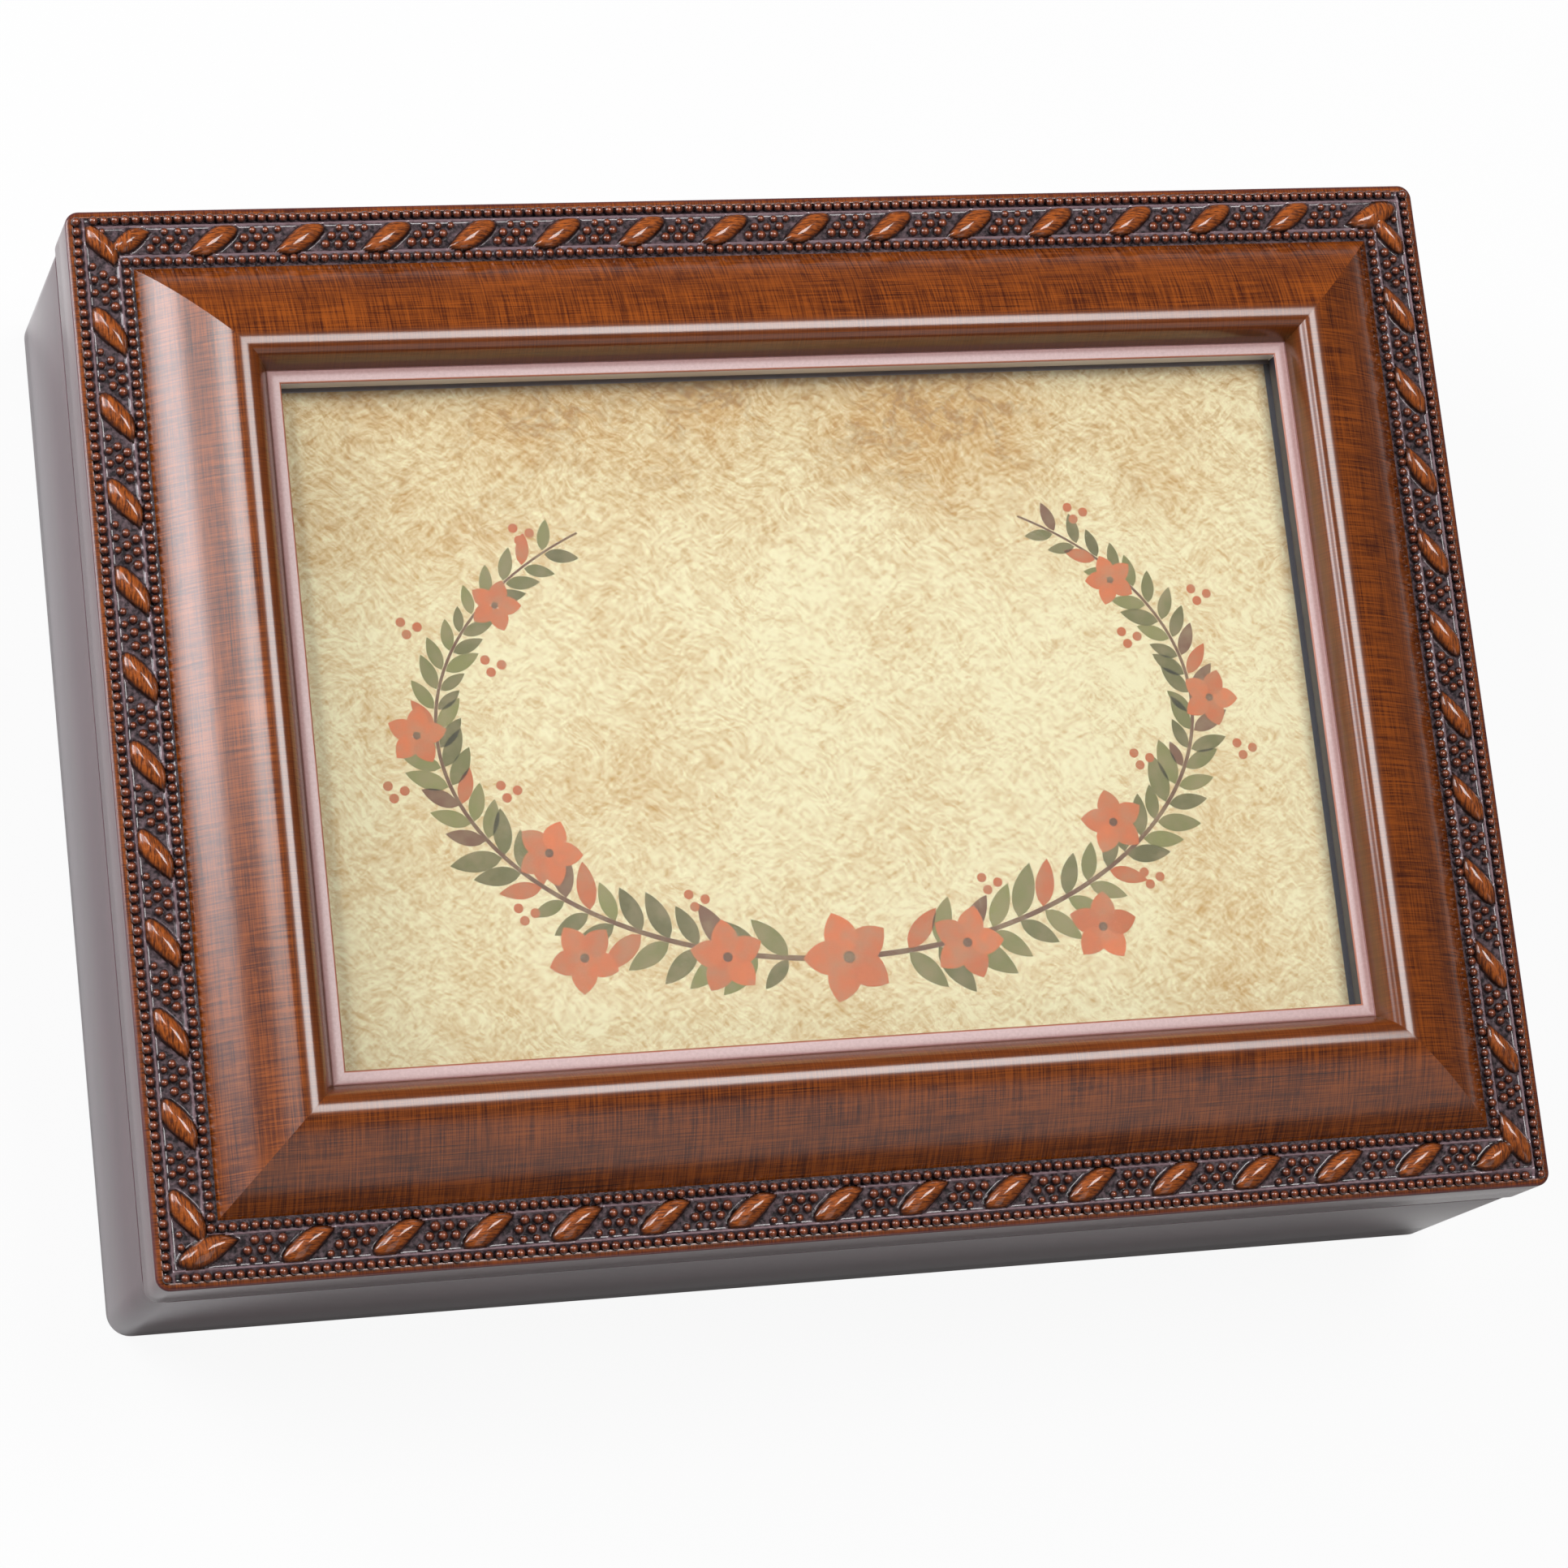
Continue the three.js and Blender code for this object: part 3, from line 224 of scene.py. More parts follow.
# %% [markdown]
# ## Making meshes from arrays
# Every new piece is a surface worked out with numpy: a grid of points, joined by four-cornered
# faces. Points may also carry numbers, such as how far along the stick they lie, and the finishes
# read those numbers. Doubled points are merged, faces are turned outwards, and edges sharper than
# a given angle stay crisp.

# %% Making meshes from arrays
def grid(rows, columns, wrap_rows=False, wrap_columns=False, start=0):
    """Corner numbers of a grid's faces: point r times columns plus c, joined to its neighbours."""
    r = np.arange(rows if wrap_rows else rows - 1)[:, None]
    c = np.arange(columns if wrap_columns else columns - 1)[None, :]
    below, after = (r + 1) % rows, (c + 1) % columns
    four = np.broadcast_arrays(
        r * columns + c, r * columns + after, below * columns + after, below * columns + c
    )
    return (np.stack(four, -1).reshape(-1, 4) + start).tolist()


def repeated(faces, size, count):
    """Faces of count copies of a shape of size points; all its faces have as many corners."""
    faces = np.array(faces)
    shift = size * np.arange(count)[:, None, None]
    return (faces[None] + shift).reshape(-1, faces.shape[1]).tolist()


CRISP, SOFT_CRISP, METAL_CRISP, BEAD_CRISP = 38.0, 60.0, 35.0, 80.0


def make(
    name, points, faces, finish, body, crisp=CRISP, carried=None, stands_for=(), finish_slot=None
):
    """A closed piece from points in millimetres; carried holds numbers or vectors for them.
    Edges between faces that turn by more than crisp degrees stay sharp."""
    mesh = bpy.data.meshes.new(name)
    points = np.asarray(points, float).reshape(-1, 3)
    mesh.from_pydata((points * MM).tolist(), [], faces)
    for key, values in (carried or {}).items():
        values = np.asarray(values, np.float32).reshape(len(points), -1)
        kind, field = ("FLOAT", "value") if values.shape[1] == 1 else ("FLOAT_VECTOR", "vector")
        mesh.attributes.new(key, kind, "POINT").data.foreach_set(field, values.ravel())
    shaped = bmesh.new()
    shaped.from_mesh(mesh)
    bmesh.ops.remove_doubles(shaped, verts=shaped.verts, dist=1e-7)
    bmesh.ops.recalc_face_normals(shaped, faces=shaped.faces)
    shaped.to_mesh(mesh)
    shaped.free()
    mesh.shade_smooth()
    mesh.set_sharp_from_angle(angle=math.radians(crisp))
    made = bpy.data.objects.new(name, mesh)
    bpy.context.scene.collection.objects.link(made)
    mesh.materials.append(finish.material)
    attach(made, body)
    if stands_for:
        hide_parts(*stands_for)
    return made


def softened(outline):
    """A closed outline of (across, up, radius, steps): each corner with a radius becomes an arc
    that touches both of its edges, and the others stay as they are."""
    points = []
    for i, (x, y, radius, steps) in enumerate(outline):
        here = np.array((x, y))
        if radius == 0:
            points.append(here)
            continue
        before = np.array(outline[i - 1][:2]) - here
        after = np.array(outline[(i + 1) % len(outline)][:2]) - here
        before, after = before / np.linalg.norm(before), after / np.linalg.norm(after)
        half = math.acos(np.clip(before @ after, -1, 1)) / 2
        centre = here + (before + after) / np.linalg.norm(before + after) * radius / math.sin(half)
        ends = [here + way * radius / math.tan(half) - centre for way in (before, after)]
        first, last = (math.atan2(e[1], e[0]) for e in ends)
        sweep = (last - first + math.pi) % (2 * math.pi) - math.pi
        angles = first + sweep * np.linspace(0, 1, steps + 1)
        points.extend(centre + radius * np.stack((np.cos(angles), np.sin(angles)), -1))
    return np.array(points)


def bow(start, end, sagitta, steps):
    """Points between two places on an arc that rises sagitta above their chord, ends left out,
    as outline corners without a radius."""
    start, end = np.array(start, float), np.array(end, float)
    chord = np.linalg.norm(end - start)
    along = (end - start) / chord
    up = np.array((-along[1], along[0]))
    radius = (chord**2 / 4 + sagitta**2) / (2 * abs(sagitta))
    half = math.asin(chord / 2 / radius)
    t = np.linspace(-half, half, steps + 1)[1:-1]
    rise = math.copysign(1.0, sagitta) * (np.cos(t) - math.cos(half)) * radius
    places = (start + end) / 2 + np.outer(np.sin(t) * radius, along) + np.outer(rise, up)
    return [(*place, 0, 0) for place in places]


def rounded_box(low, high, radius, cells=(1, 1, 1), steps=2):
    """Points and faces of a box with round edges: each point of a plain box is pushed so that it
    lies one radius from the box that is a radius smaller all round."""
    low, high = np.array(low, float), np.array(high, float)
    edge = radius * np.tan(np.linspace(0, math.pi / 4, steps + 1))
    lines = []
    for a in range(3):
        flat = np.linspace(low[a] + radius, high[a] - radius, cells[a] + 1)
        line = np.concatenate((low[a] + radius - edge, flat, high[a] - radius + edge))
        lines.append(np.unique(np.round(line, 6)))
    points, faces, count = [], [], 0
    for axis in range(3):
        u, v = [a for a in range(3) if a != axis]
        for limit in (low[axis], high[axis]):
            here = np.empty((len(lines[u]), len(lines[v]), 3))
            here[..., axis] = limit
            here[..., u], here[..., v] = lines[u][:, None], lines[v][None, :]
            inner = np.clip(here, low + radius, high - radius)
            out = here - inner
            here = inner + radius * out / np.linalg.norm(out, axis=-1, keepdims=True)
            faces += grid(len(lines[u]), len(lines[v]), start=count)
            points.append(here.reshape(-1, 3))
            count += here.shape[0] * here.shape[1]
    return np.concatenate(points), faces


# %% [markdown]
# ## The four sides
# The case has four sides of the same section, cut at 45 degrees. A place on a side is given by how
# far along it lies, from the left end seen from outside, and how far in from the outer face. The
# same two numbers place a bead, a leaf or a screw on any side.

# %% The four sides
SIDES = ("front", "right", "back", "left")
LENGTH = {"front": width, "right": depth, "back": width, "left": depth}
CORNER_STEPS, MITRE_STEP, WOOD_PER_SIDE = 6, 0.08, 61.0


def on_side(side, along, inset):
    """X and Y of a place on a side."""
    if side == "front":
        return left + along, front + inset
    if side == "right":
        return right - inset, front + along
    if side == "back":
        return right - along, back - inset
    return left + inset, back - along


def from_side(side, x, y):
    """The way back: how far along a side and how far in a place lies."""
    if side == "front":
        return x - left, y - front
    if side == "right":
        return y - front, right - x
    if side == "back":
        return right - x, back - y
    return back - y, x - left


def grain_place(side, along, across):
    """What the woodgrain reads: the place along and across a stick, and another plank per side."""
    return np.stack((along, across, WOOD_PER_SIDE * SIDES.index(side) + 0 * along), -1)


def tube_faces(rows, columns):
    """Faces of an outline (rows) carried along a path (columns), with an end face at each end."""
    ends = [(np.arange(rows) * columns + c).tolist() for c in (0, columns - 1)]
    return grid(rows, columns, wrap_rows=True) + ends


def stick(name, side, outline, bottom, corner, finish, body, **extra):
    """A mitred stick: the outline (inset, height) is carried along the side. Within the corner
    radius the path bends round to the mitre; further in it runs straight up to it."""
    inset, height = outline[:, :1], outline[:, 1:]
    length = LENGTH[side]
    k = np.arange(CORNER_STEPS + 1)[None, :]
    bend = math.pi / 4 * (1 - k / CORNER_STEPS)
    reach = np.maximum(corner - inset, 0)
    round_part = inset < corner
    straight = np.maximum(inset, corner) + MITRE_STEP * k
    start = np.where(round_part, corner - reach * np.sin(bend), straight)
    deep = np.where(round_part, corner - reach * np.cos(bend), inset + 0 * k)
    along = np.concatenate((start, length - start[:, ::-1]), 1)
    deep = np.concatenate((deep, deep[:, ::-1]), 1)
    x, y = on_side(side, along, deep)
    z = bottom + height + 0 * x
    step = np.linalg.norm(np.roll(outline, -1, 0) - outline, axis=1)
    around = np.concatenate(((0,), np.cumsum(step)[:-1]))[:, None] + 0 * x
    rows, columns = x.shape
    carried = {"grain": grain_place(side, along, around), "inset": inset + 0 * x}
    points = np.stack((x, y, z), -1)
    return make(name, points, tube_faces(rows, columns), finish, body, carried=carried, **extra)


def notch(piece, low, high):
    """Cuts a box out of a piece for good, as a chisel does for a hinge."""
    tool_mesh = bpy.data.meshes.new("chisel")
    unit = np.array([(x, y, z) for x in (0, 1) for y in (0, 1) for z in (0, 1)])
    points = unit * (np.array(high) - low) + low
    faces = [(0, 1, 3, 2), (4, 6, 7, 5), (0, 4, 5, 1), (2, 3, 7, 6), (0, 2, 6, 4), (1, 5, 7, 3)]
    tool_mesh.from_pydata((points * MM).tolist(), [], faces)
    tool = bpy.data.objects.new("chisel", tool_mesh)
    bpy.context.scene.collection.objects.link(tool)
    cut = piece.modifiers.new("notch", "BOOLEAN")
    cut.operation, cut.solver, cut.object = "DIFFERENCE", "EXACT", tool
    bpy.context.view_layer.objects.active = piece
    bpy.ops.object.modifier_apply(modifier=cut.name)
    bpy.data.objects.remove(tool)
    piece.data.set_sharp_from_angle(angle=math.radians(CRISP))


# %% [markdown]
# ## Stained and lacquered wood finish
# The moulding has a printed woodgrain: an orange brown stain, fine dark fibres both along and
# across the stick, a few longer dark streaks along it, and a clear lacquer. Each stick carries
# "grain", the distance along it and round its section, so the pattern turns with the mitres, and
# "inset", how far in a point lies. Zones of the section take their tone from that number: the
# plum side, the calmer crest, the hollow beside the lip in a darker brown that is painted shade,
# the rose lip, whose paleness is partly a painted sheen, and the reveal, painted pale grey along
# the back as if lit there and dark blue grey on the other sides.

# %% Stained and lacquered wood finish
lip_start, lip_end, lip_height = 25.62, 27.5, 16.0


def hairlines(finish, scale, thin, seed=0.0):
    """Thin wavering lines where a stretched noise crosses one half."""
    return finish.noise(finish.place((*scale, 1.0), "grain"), 1.0 + seed, 3.0, 0.55).line(thin)


def woodgrain(finish, light, dark, streak):
    """Stain: light wood with soft dark fibres both ways, crossed by hairlines and rare streaks."""
    fibre, across = finish.grain(0.11, 4.6), finish.grain(4.2, 0.1)
    mottle, patch = finish.grain(0.06, 0.16), finish.grain(0.16, 0.22, 2.0, 0.5)
    weave = fibre * 0.44 + across * 0.54 + mottle * 0.2
    colour = finish.blend(light, dark, weave.between(0.5, 0.7))
    lines = hairlines(finish, (0.8, 0.035), 34.0) * patch.between(0.4, 0.62) * 0.65
    lines = lines + hairlines(finish, (0.022, 0.75), 30.0, 0.3) * patch.between(0.36, 0.66) * 0.6
    colour = finish.blend(colour, dark, lines.between(0.0, 1.0))
    slivers = finish.grain(0.04, 3.0, 5.0, 0.7).between(0.58, 0.67) * mottle.between(0.4, 0.56)
    return finish.blend(colour, streak, slivers * 0.95), weave - lines * 0.3


moulding = Finish(
    "stained_moulding", roughness=0.5, specular_ior_level=0.06,
    coat_weight=1.0, coat_roughness=0.19, coat_ior=1.66,
)
stain, weave = woodgrain(moulding, tone(164, 82, 22), tone(76, 29, 9), tone(28, 11, 7))
inset = moulding.value("inset")
crest_zone = inset.between(20.7, 21.5)
# The hollow beside the lip gets a darker olive brown: painted shade for that crevice.
hollow_painted_shade = inset.between(24.2, 24.9) * (1.0 - inset.between(lip_start - 0.08, lip_start - 0.04))
lip_zone = inset.between(lip_start - 0.06, lip_start - 0.02)
# The lip is pale rose: its own colour, made paler so that it also carries part of its lacquer's
# sheen as painted sheen.
satin = moulding.grain(2.0, 2.0, 4.0, 0.7)
rose_and_painted_sheen = moulding.blend(tone(208, 168, 165), tone(170, 130, 128), satin)
# The reveal under the lip is painted pale along the back, as if lit there, and dark blue grey on
# the other sides.
back_reveal = back - lip_end - 0.2
painted_light_at_back = moulding.axis(moulding.place(), 1).between(back_reveal - 0.05, back_reveal + 0.05)
reveal_painted_light = moulding.blend(tone(52, 54, 68), tone(226, 224, 236), painted_light_at_back)
stain = moulding.layered(
    stain,
    (tone(112, 54, 17), crest_zone * 0.6),
    (tone(92, 58, 26), hollow_painted_shade * 0.6),
    (rose_and_painted_sheen, lip_zone * 0.95),
    (tone(176, 98, 62), inset.between(lip_end - 0.35, lip_end - 0.2) * 0.8),
    (reveal_painted_light, inset.between(lip_end - 0.04, lip_end - 0.01)),
    (tone(92, 50, 56), 1.0 - inset.between(0.02, 0.6)),
)
moulding.put(base_color=stain, coat_weight=1.0 - lip_zone * 0.45)
moulding.put(normal=moulding.bump(weave, 0.02, 0.5))
print("woodgrain of", len(moulding.tree.nodes), "nodes")

# %% [markdown]
# ## Lid moulding
# Seen in section, from outside in: a plain side, a small round rim, a sunk bed for the carved
# band, a broad cushion that rises in a bow, a crest that rolls over towards the picture, a steep
# drop and a flat lip. A section carried along a path gives all of it in one smooth piece. The
# crest is two arcs, a wide one over the top and a tighter one where it turns down; the radius
# sets how wide a line of light it shows. The rim's top slopes a little, to catch less of it.

# %% Lid moulding
WALL = 8.0
rim_top, band_end, cushion_foot = 11.3, 8.9, 11.95
bed = rim_top - 1.0
crest_inset, crest_height, crest_radius, roll_radius = 21.82, 19.85, 4.5, 2.4
rise_angle, top_angle, drop_angle = 18, -10, -62
rebate_inset, rebate_top, recess_top = 25.0, 13.5, 8.8


def arc(start, radius, first, last, steps):
    """An arc from a place where the slope is first degrees to where it is last, as outline
    corners: a slope of zero is the top, and a falling slope is below zero."""
    first, turns = math.radians(first), np.radians(np.linspace(first, last, steps))
    x = start[0] + radius * (math.sin(first) - np.sin(turns))
    y = start[1] + radius * (np.cos(turns) - math.cos(first))
    return [(*place, 0, 0) for place in zip(x, y)]


rise = math.radians(rise_angle)
crest_start = (
    crest_inset - crest_radius * math.sin(rise), crest_height - crest_radius * (1 - math.cos(rise))
)
crest = arc(crest_start, crest_radius, rise_angle, top_angle, 16)
crest += arc(crest[-1][:2], roll_radius, top_angle, drop_angle, 14)[1:]
moulding_section = softened(
    [
        (0, 0, 0.25, 3),
        (0, rim_top - 0.24, 0.35, 5),
        (1.05, rim_top, 0.05, 2),
        (1.08, bed, 0, 0),
        (band_end, bed, 0, 0),
        (band_end, cushion_foot, 0, 0),
        *bow((band_end, cushion_foot), crest[0][:2], 0.94, 26),
        *crest,
        (lip_start - 0.02, lip_height + 0.05, 0, 0),
        (lip_start, lip_height - 0.12, 0, 0),
        (lip_start + 0.12, lip_height, 0.04, 2),
        (lip_end, lip_height, 0.25, 5),
        (lip_end, rebate_top, 0.15, 2),
        (rebate_inset, rebate_top, 0, 0),
        (rebate_inset, recess_top, 0, 0),
        (WALL, recess_top, 0, 0),
        (WALL, 0, 0.2, 2),
    ]
)
rails = {}
for side in SIDES:
    rails[side] = stick(
        f"moulding_{side}", side, moulding_section, lid_bottom, 2.0, moulding, "lid",
        stands_for=(f"lid_rail_{side}",), finish_slot="moulding",
    )
print(f"moulding section of {len(moulding_section)} points")

# %% [markdown]
# ## Where the ornament stands
# Beads stand 1.49 mm apart in an outer and an inner row. Between them laurel leaves lean from the
# outer to the inner row, about 12.5 mm apart, with nine small beads in three slanting rows after
# each: 16 leaves on a long and 12 on a short side. The stock was cut without regard to the
# pattern, so each side starts at its own place, and the leaves at the mitres are longer or shorter.

# %% Where the ornament stands
GROUND_START, GROUND_DROP, GROUND_SLOPE = 1.5, 0.2, 0.9 / 7.4
BEAD_PITCH, OUTER_ROW, INNER_ROW = 1.49, 1.54, 7.94
OUTER_RADIUS, INNER_RADIUS = 0.73, 0.7
# Way on from the leaf's start, inset and bead radius of the three rows of a cluster.
CLUSTER_ROWS, CLUSTER_STEP = ((6.7, 3.4, 0.6), (7.95, 4.65, 0.73), (8.95, 5.95, 0.77)), 1.87
ON_SHORT_SIDES, ON_LONG_SIDES = 12, 16
LEAF_LENGTH = 7.6
LEAF = (LEAF_LENGTH, 3.3, 3.4, 0)
# First start, pitch, leaf at the start and leaf at the end; leaf_rows tells a leaf's numbers.
LEAF_RUN = {
    "front": (4.75, 12.48, (3.05, 8.6, 3.8, 2.4, 0), (191.4, 6.3, 3.4, 2.2, 1)),
    "right": (4.0, 12.485, (3.1, 8.1, 3.3, 3.4, 0), (141.3, 6.3, 3.3, 3.2, 0)),
    "back": (4.55, 12.455, (2.95, 8.6, 3.8, 2.4, 0), (191.3, 5.7, 3.4, 2.2, 1)),
    "left": (1.65, 12.46, (2.1, 6.4, 3.3, 3.1, 0), (138.7, 7.8, 3.3, 3.4, 0)),
}
# Way back from the end, inset and radius of the beads between the last leaf and the mitre.
LOOSE_BEADS = {
    "front": [(5.0, 3.2, 0.5)],
    "right": [(5.6, 3.6, 0.58)],
    "back": [(5.0, 3.2, 0.5)],
    "left": [(7.4, 3.6, 0.58), (5.7, 3.7, 0.58)],
}


def ground(inset):
    """Height of the band's ground: a straight slope from the rim to the foot of the cushion."""
    return rim_top - GROUND_DROP + (inset - GROUND_START) * GROUND_SLOPE


def leaf_rows(side):
    """Each leaf's start along the side, its length, its inset at the start, how far it leans in,
    and 1 where its blunt end comes last. A run is the first start, the pitch and the end leaves."""
    first, pitch, at_start, at_end = LEAF_RUN[side]
    starts = first + pitch * np.arange(ON_LONG_SIDES if LENGTH[side] == width else ON_SHORT_SIDES)
    rows = np.column_stack((starts, np.tile(LEAF, (len(starts), 1))))
    rows[0], rows[-1] = at_start, at_end
    return rows


def row_of_beads(along, inset, radius):
    """Along, inset and radius of each bead in a row."""
    return np.stack(np.broadcast_arrays(along, inset, radius), -1)


def bead_places(side):
    """Rows of (along, inset, radius) for every bead of a side."""
    length = LENGTH[side]
    margin, count, skip = (3.98, 132, 0) if length == width else (1.65, 101, 1)
    outer = np.linspace(margin, length - margin, count)
    count = int(round((length - 2 * INNER_ROW) / BEAD_PITCH)) + 1
    inner = np.linspace(INNER_ROW, length - INNER_ROW, count)[skip : count - skip]
    found = [
        row_of_beads(outer, OUTER_ROW, OUTER_RADIUS), row_of_beads(inner, INNER_ROW, INNER_RADIUS)
    ]
    first, pitch = LEAF_RUN[side][:2]
    starts = first + pitch * np.arange(len(leaf_rows(side)) - 1)
    for shift, inset, radius in CLUSTER_ROWS:
        along = (starts[:, None] + shift + CLUSTER_STEP * np.arange(3)[None, :]).ravel()
        found.append(row_of_beads(along, inset, radius))
    found.append(np.array([(length - from_end, *rest) for from_end, *rest in LOOSE_BEADS[side]]))
    return np.concatenate(found)


for side in SIDES:
    print(side, len(leaf_rows(side)), "leaves and", len(bead_places(side)), "beads")

# %% [markdown]
# ## Carved band
# The band is a height field: over a fine grid, the height is the ground, raised by two thin lines
# and by the leaves. A leaf is a lens round a slightly bent middle line, with a soft ridge. The
# grid also carries how high it stands, so that the dark wash stays in the hollows; the paler grey
# pink of the ground between is partly a painted sheen of its lacquer.

# %% Carved band finish and shape
carving = Finish(
    "carved_band", roughness=0.45, specular_ior_level=0.2,
    coat_weight=1.0, coat_roughness=0.1, coat_ior=1.62,
)
raised, leafy = carving.value("raised"), carving.value("leaf")
fleck = carving.noise(carving.place(), 1.3, 4.0, 0.6)
fibre = carving.noise(carving.place((0.5, 3.0, 1.0), "grain"), 1.4, 4.0, 0.6)
leaf_stain = carving.blend(tone(184, 94, 32), tone(94, 42, 14), fibre.between(0.42, 0.62))
worn_share = (raised + fleck * 0.2).between(0.45, 1.0)
leaf_stain = carving.blend(tone(38, 18, 14), leaf_stain, worn_share)
# The ground is dark wash, paler on high places and in flecks; that pale grey pink is partly wiped
# wash and partly painted sheen.
wash_and_sheen_share = (raised * 0.8 + fleck * 0.9).between(0.34, 0.8)
wash_and_painted_sheen = carving.blend(tone(30, 20, 25), tone(150, 124, 130), wash_and_sheen_share)
carving.put(base_color=carving.blend(wash_and_painted_sheen, leaf_stain, leafy.between(0.05, 0.4)))
carving.put(normal=carving.bump(fleck, 0.24, 0.9))

LINE_HEIGHT, LINE_WIDTH, OUTER_LINE, INNER_LINE = 0.34, 0.15, 2.45, 7.05
LEAF_HALF_WIDTH, LEAF_HEIGHT, LEAF_BAND = 2.02, 1.5, (2.6, 7.4)
OUTER_HOLLOW, INNER_HOLLOW = (0.28, 0.45), (0.22, 0.5)
TILE_START, TILE_STEP = 0.98, 0.22


def ridge(distance, broad):
    """A soft ridge: e to the power of minus the square of distance over breadth."""
    return np.exp(-((distance / broad) ** 2))


def carved_height(x, y):
    """Height over the lid's lower edge, share of a leaf, and how raised each place is. A leaf's
    half width is a sine of the way along it, and its height a dome across that width."""
    all_insets = [from_side(side, x, y)[1] for side in SIDES]
    ring = np.minimum.reduce(all_insets)
    level = ground(ring)
    for row, (deep, broad) in ((OUTER_ROW, OUTER_HOLLOW), (INNER_ROW, INNER_HOLLOW)):
        level = level - deep * ridge(ring - row, broad)
    short = np.minimum(all_insets[1], all_insets[3])
    outer_line = np.maximum(
        ridge(short - OUTER_LINE, LINE_WIDTH), ridge(ring - OUTER_LINE, LINE_WIDTH) * (short > 2.3)
    )
    lift = LINE_HEIGHT * np.maximum(ridge(ring - INNER_LINE, LINE_WIDTH), outer_line)
    raised, leaf = lift / 0.45, np.zeros_like(lift)
    for side in SIDES:
        along, inset = from_side(side, x, y)
        for start, length, low_end, lean, turned_round in leaf_rows(side):
            u = (along - start) / length
            inside = (u > 0) & (u < 1) & (inset > LEAF_BAND[0]) & (inset < LEAF_BAND[1])
            if not inside.any():
                continue
            t, m = u[inside], inset[inside]
            line = low_end + lean * (0.45 * t + 0.55 * t * t * (3 - 2 * t))
            t = 1 - t if turned_round else t
            arch = np.sin(math.pi * t**0.86)
            broad = LEAF_HALF_WIDTH * min(1.0, length / LEAF_LENGTH) ** 0.4
            v = np.clip(np.abs(m - line) / (broad * arch ** (0.62 + 0.3 * t) + 1e-3), 0, 1)
            dome = (1 - v**2.1) ** 0.62
            crest = LEAF_HEIGHT * arch**0.5 * (0.8 * dome + 0.2 * (1 - v))
            old = lift[inside]
            lift[inside] = np.maximum(old, crest)
            raised[inside] = np.where(crest > old, crest / 1.1, raised[inside])
            leaf[inside] = np.where(crest > old, 1.0, leaf[inside])
    return level + lift, leaf, raised


def carve(side):
    """The band's tile of one side: short sides run to the corners, long ones lie between them.
    Two more rows of points close it underneath."""
    length = LENGTH[side]
    inner, outer = band_end + 0.06, TILE_START
    ends = (inner, length - inner) if length == width else (outer, length - outer)
    along = np.linspace(*ends, int((ends[1] - ends[0]) / TILE_STEP))
    inset = np.linspace(outer, inner, 41)
    a, m = np.meshgrid(along, inset)
    height, leaf, raised = carved_height(*on_side(side, a, m))
    pad = [[0, 2], [0, 0]]
    a, m = np.pad(a, pad, "edge"), np.pad(m, pad, "edge")
    m[-1] = outer
    height = np.pad(height, pad, constant_values=bed - 0.02)
    points = np.stack((*on_side(side, a, m), lid_bottom + height), -1)
    carried = {"leaf": np.pad(leaf, pad), "raised": np.pad(raised, pad)}
    carried["grain"] = grain_place(side, a, m)
    faces = tube_faces(*a.shape)
    return make(
        f"carving_{side}", points, faces, carving, "lid", SOFT_CRISP, carried,
        finish_slot="moulding",
    )


for side in SIDES:
    made = carve(side)
    print(made.name, len(made.data.polygons), "faces")

# %% [markdown]
# ## Beads
# More than a thousand beads stand in the band, so one bead is a ball of 45 faces that is copied in
# a single array sum: every place plus every point of the ball times its radius. Each has a copper
# coloured top, where the dark wash was wiped off, and a dark foot, which is wash and also painted
# shade on its lower side; a small pale spot at its very top is a painted highlight. Seeded chance
# moves each one a little. A triangle is written with its last corner twice while the faces are an
# array.

# %% Beads
copper = Finish(
    "bead_stain", roughness=0.4, specular_ior_level=0.2,
    coat_weight=1.0, coat_roughness=0.08, coat_ior=1.65,
)
top = copper.value("top")
speck = copper.noise(copper.place(), 1.8, 3.0, 0.6)
# A bead is painted dark at its foot, as wash and as shade, and copper above; the paler spot at the
# very top is a painted highlight.
shade = (top + speck * 0.3).between(0.8, 1.12)
wear_and_painted_shade = copper.blend(tone(34, 18, 20), tone(124, 58, 30), shade)
painted_glint = (top + speck * 0.1).between(0.98, 1.05)
copper.put(base_color=copper.blend(wear_and_painted_shade, tone(190, 110, 74), painted_glint))


def ball(segments=9, rings=5):
    """A unit ball's points and faces: rings of points between two poles."""
    tilt = np.linspace(0, math.pi, rings + 1)[1:-1, None]
    turn = np.linspace(0, 2 * math.pi, segments, endpoint=False)[None, :]
    level = np.cos(tilt) + 0 * turn
    body = np.stack((np.sin(tilt) * np.cos(turn), np.sin(tilt) * np.sin(turn), level), -1)
    points = np.concatenate((body.reshape(-1, 3), [(0, 0, 1), (0, 0, -1)]))
    ring = np.arange(segments)
    after, last, pole = (ring + 1) % segments, (rings - 2) * segments, (rings - 1) * segments
    faces = grid(rings - 1, segments, wrap_columns=True)
    faces += np.stack((0 * ring + pole, ring, after), -1).tolist()
    faces += np.stack((0 * ring + pole + 1, last + after, last + ring), -1).tolist()
    return points, faces


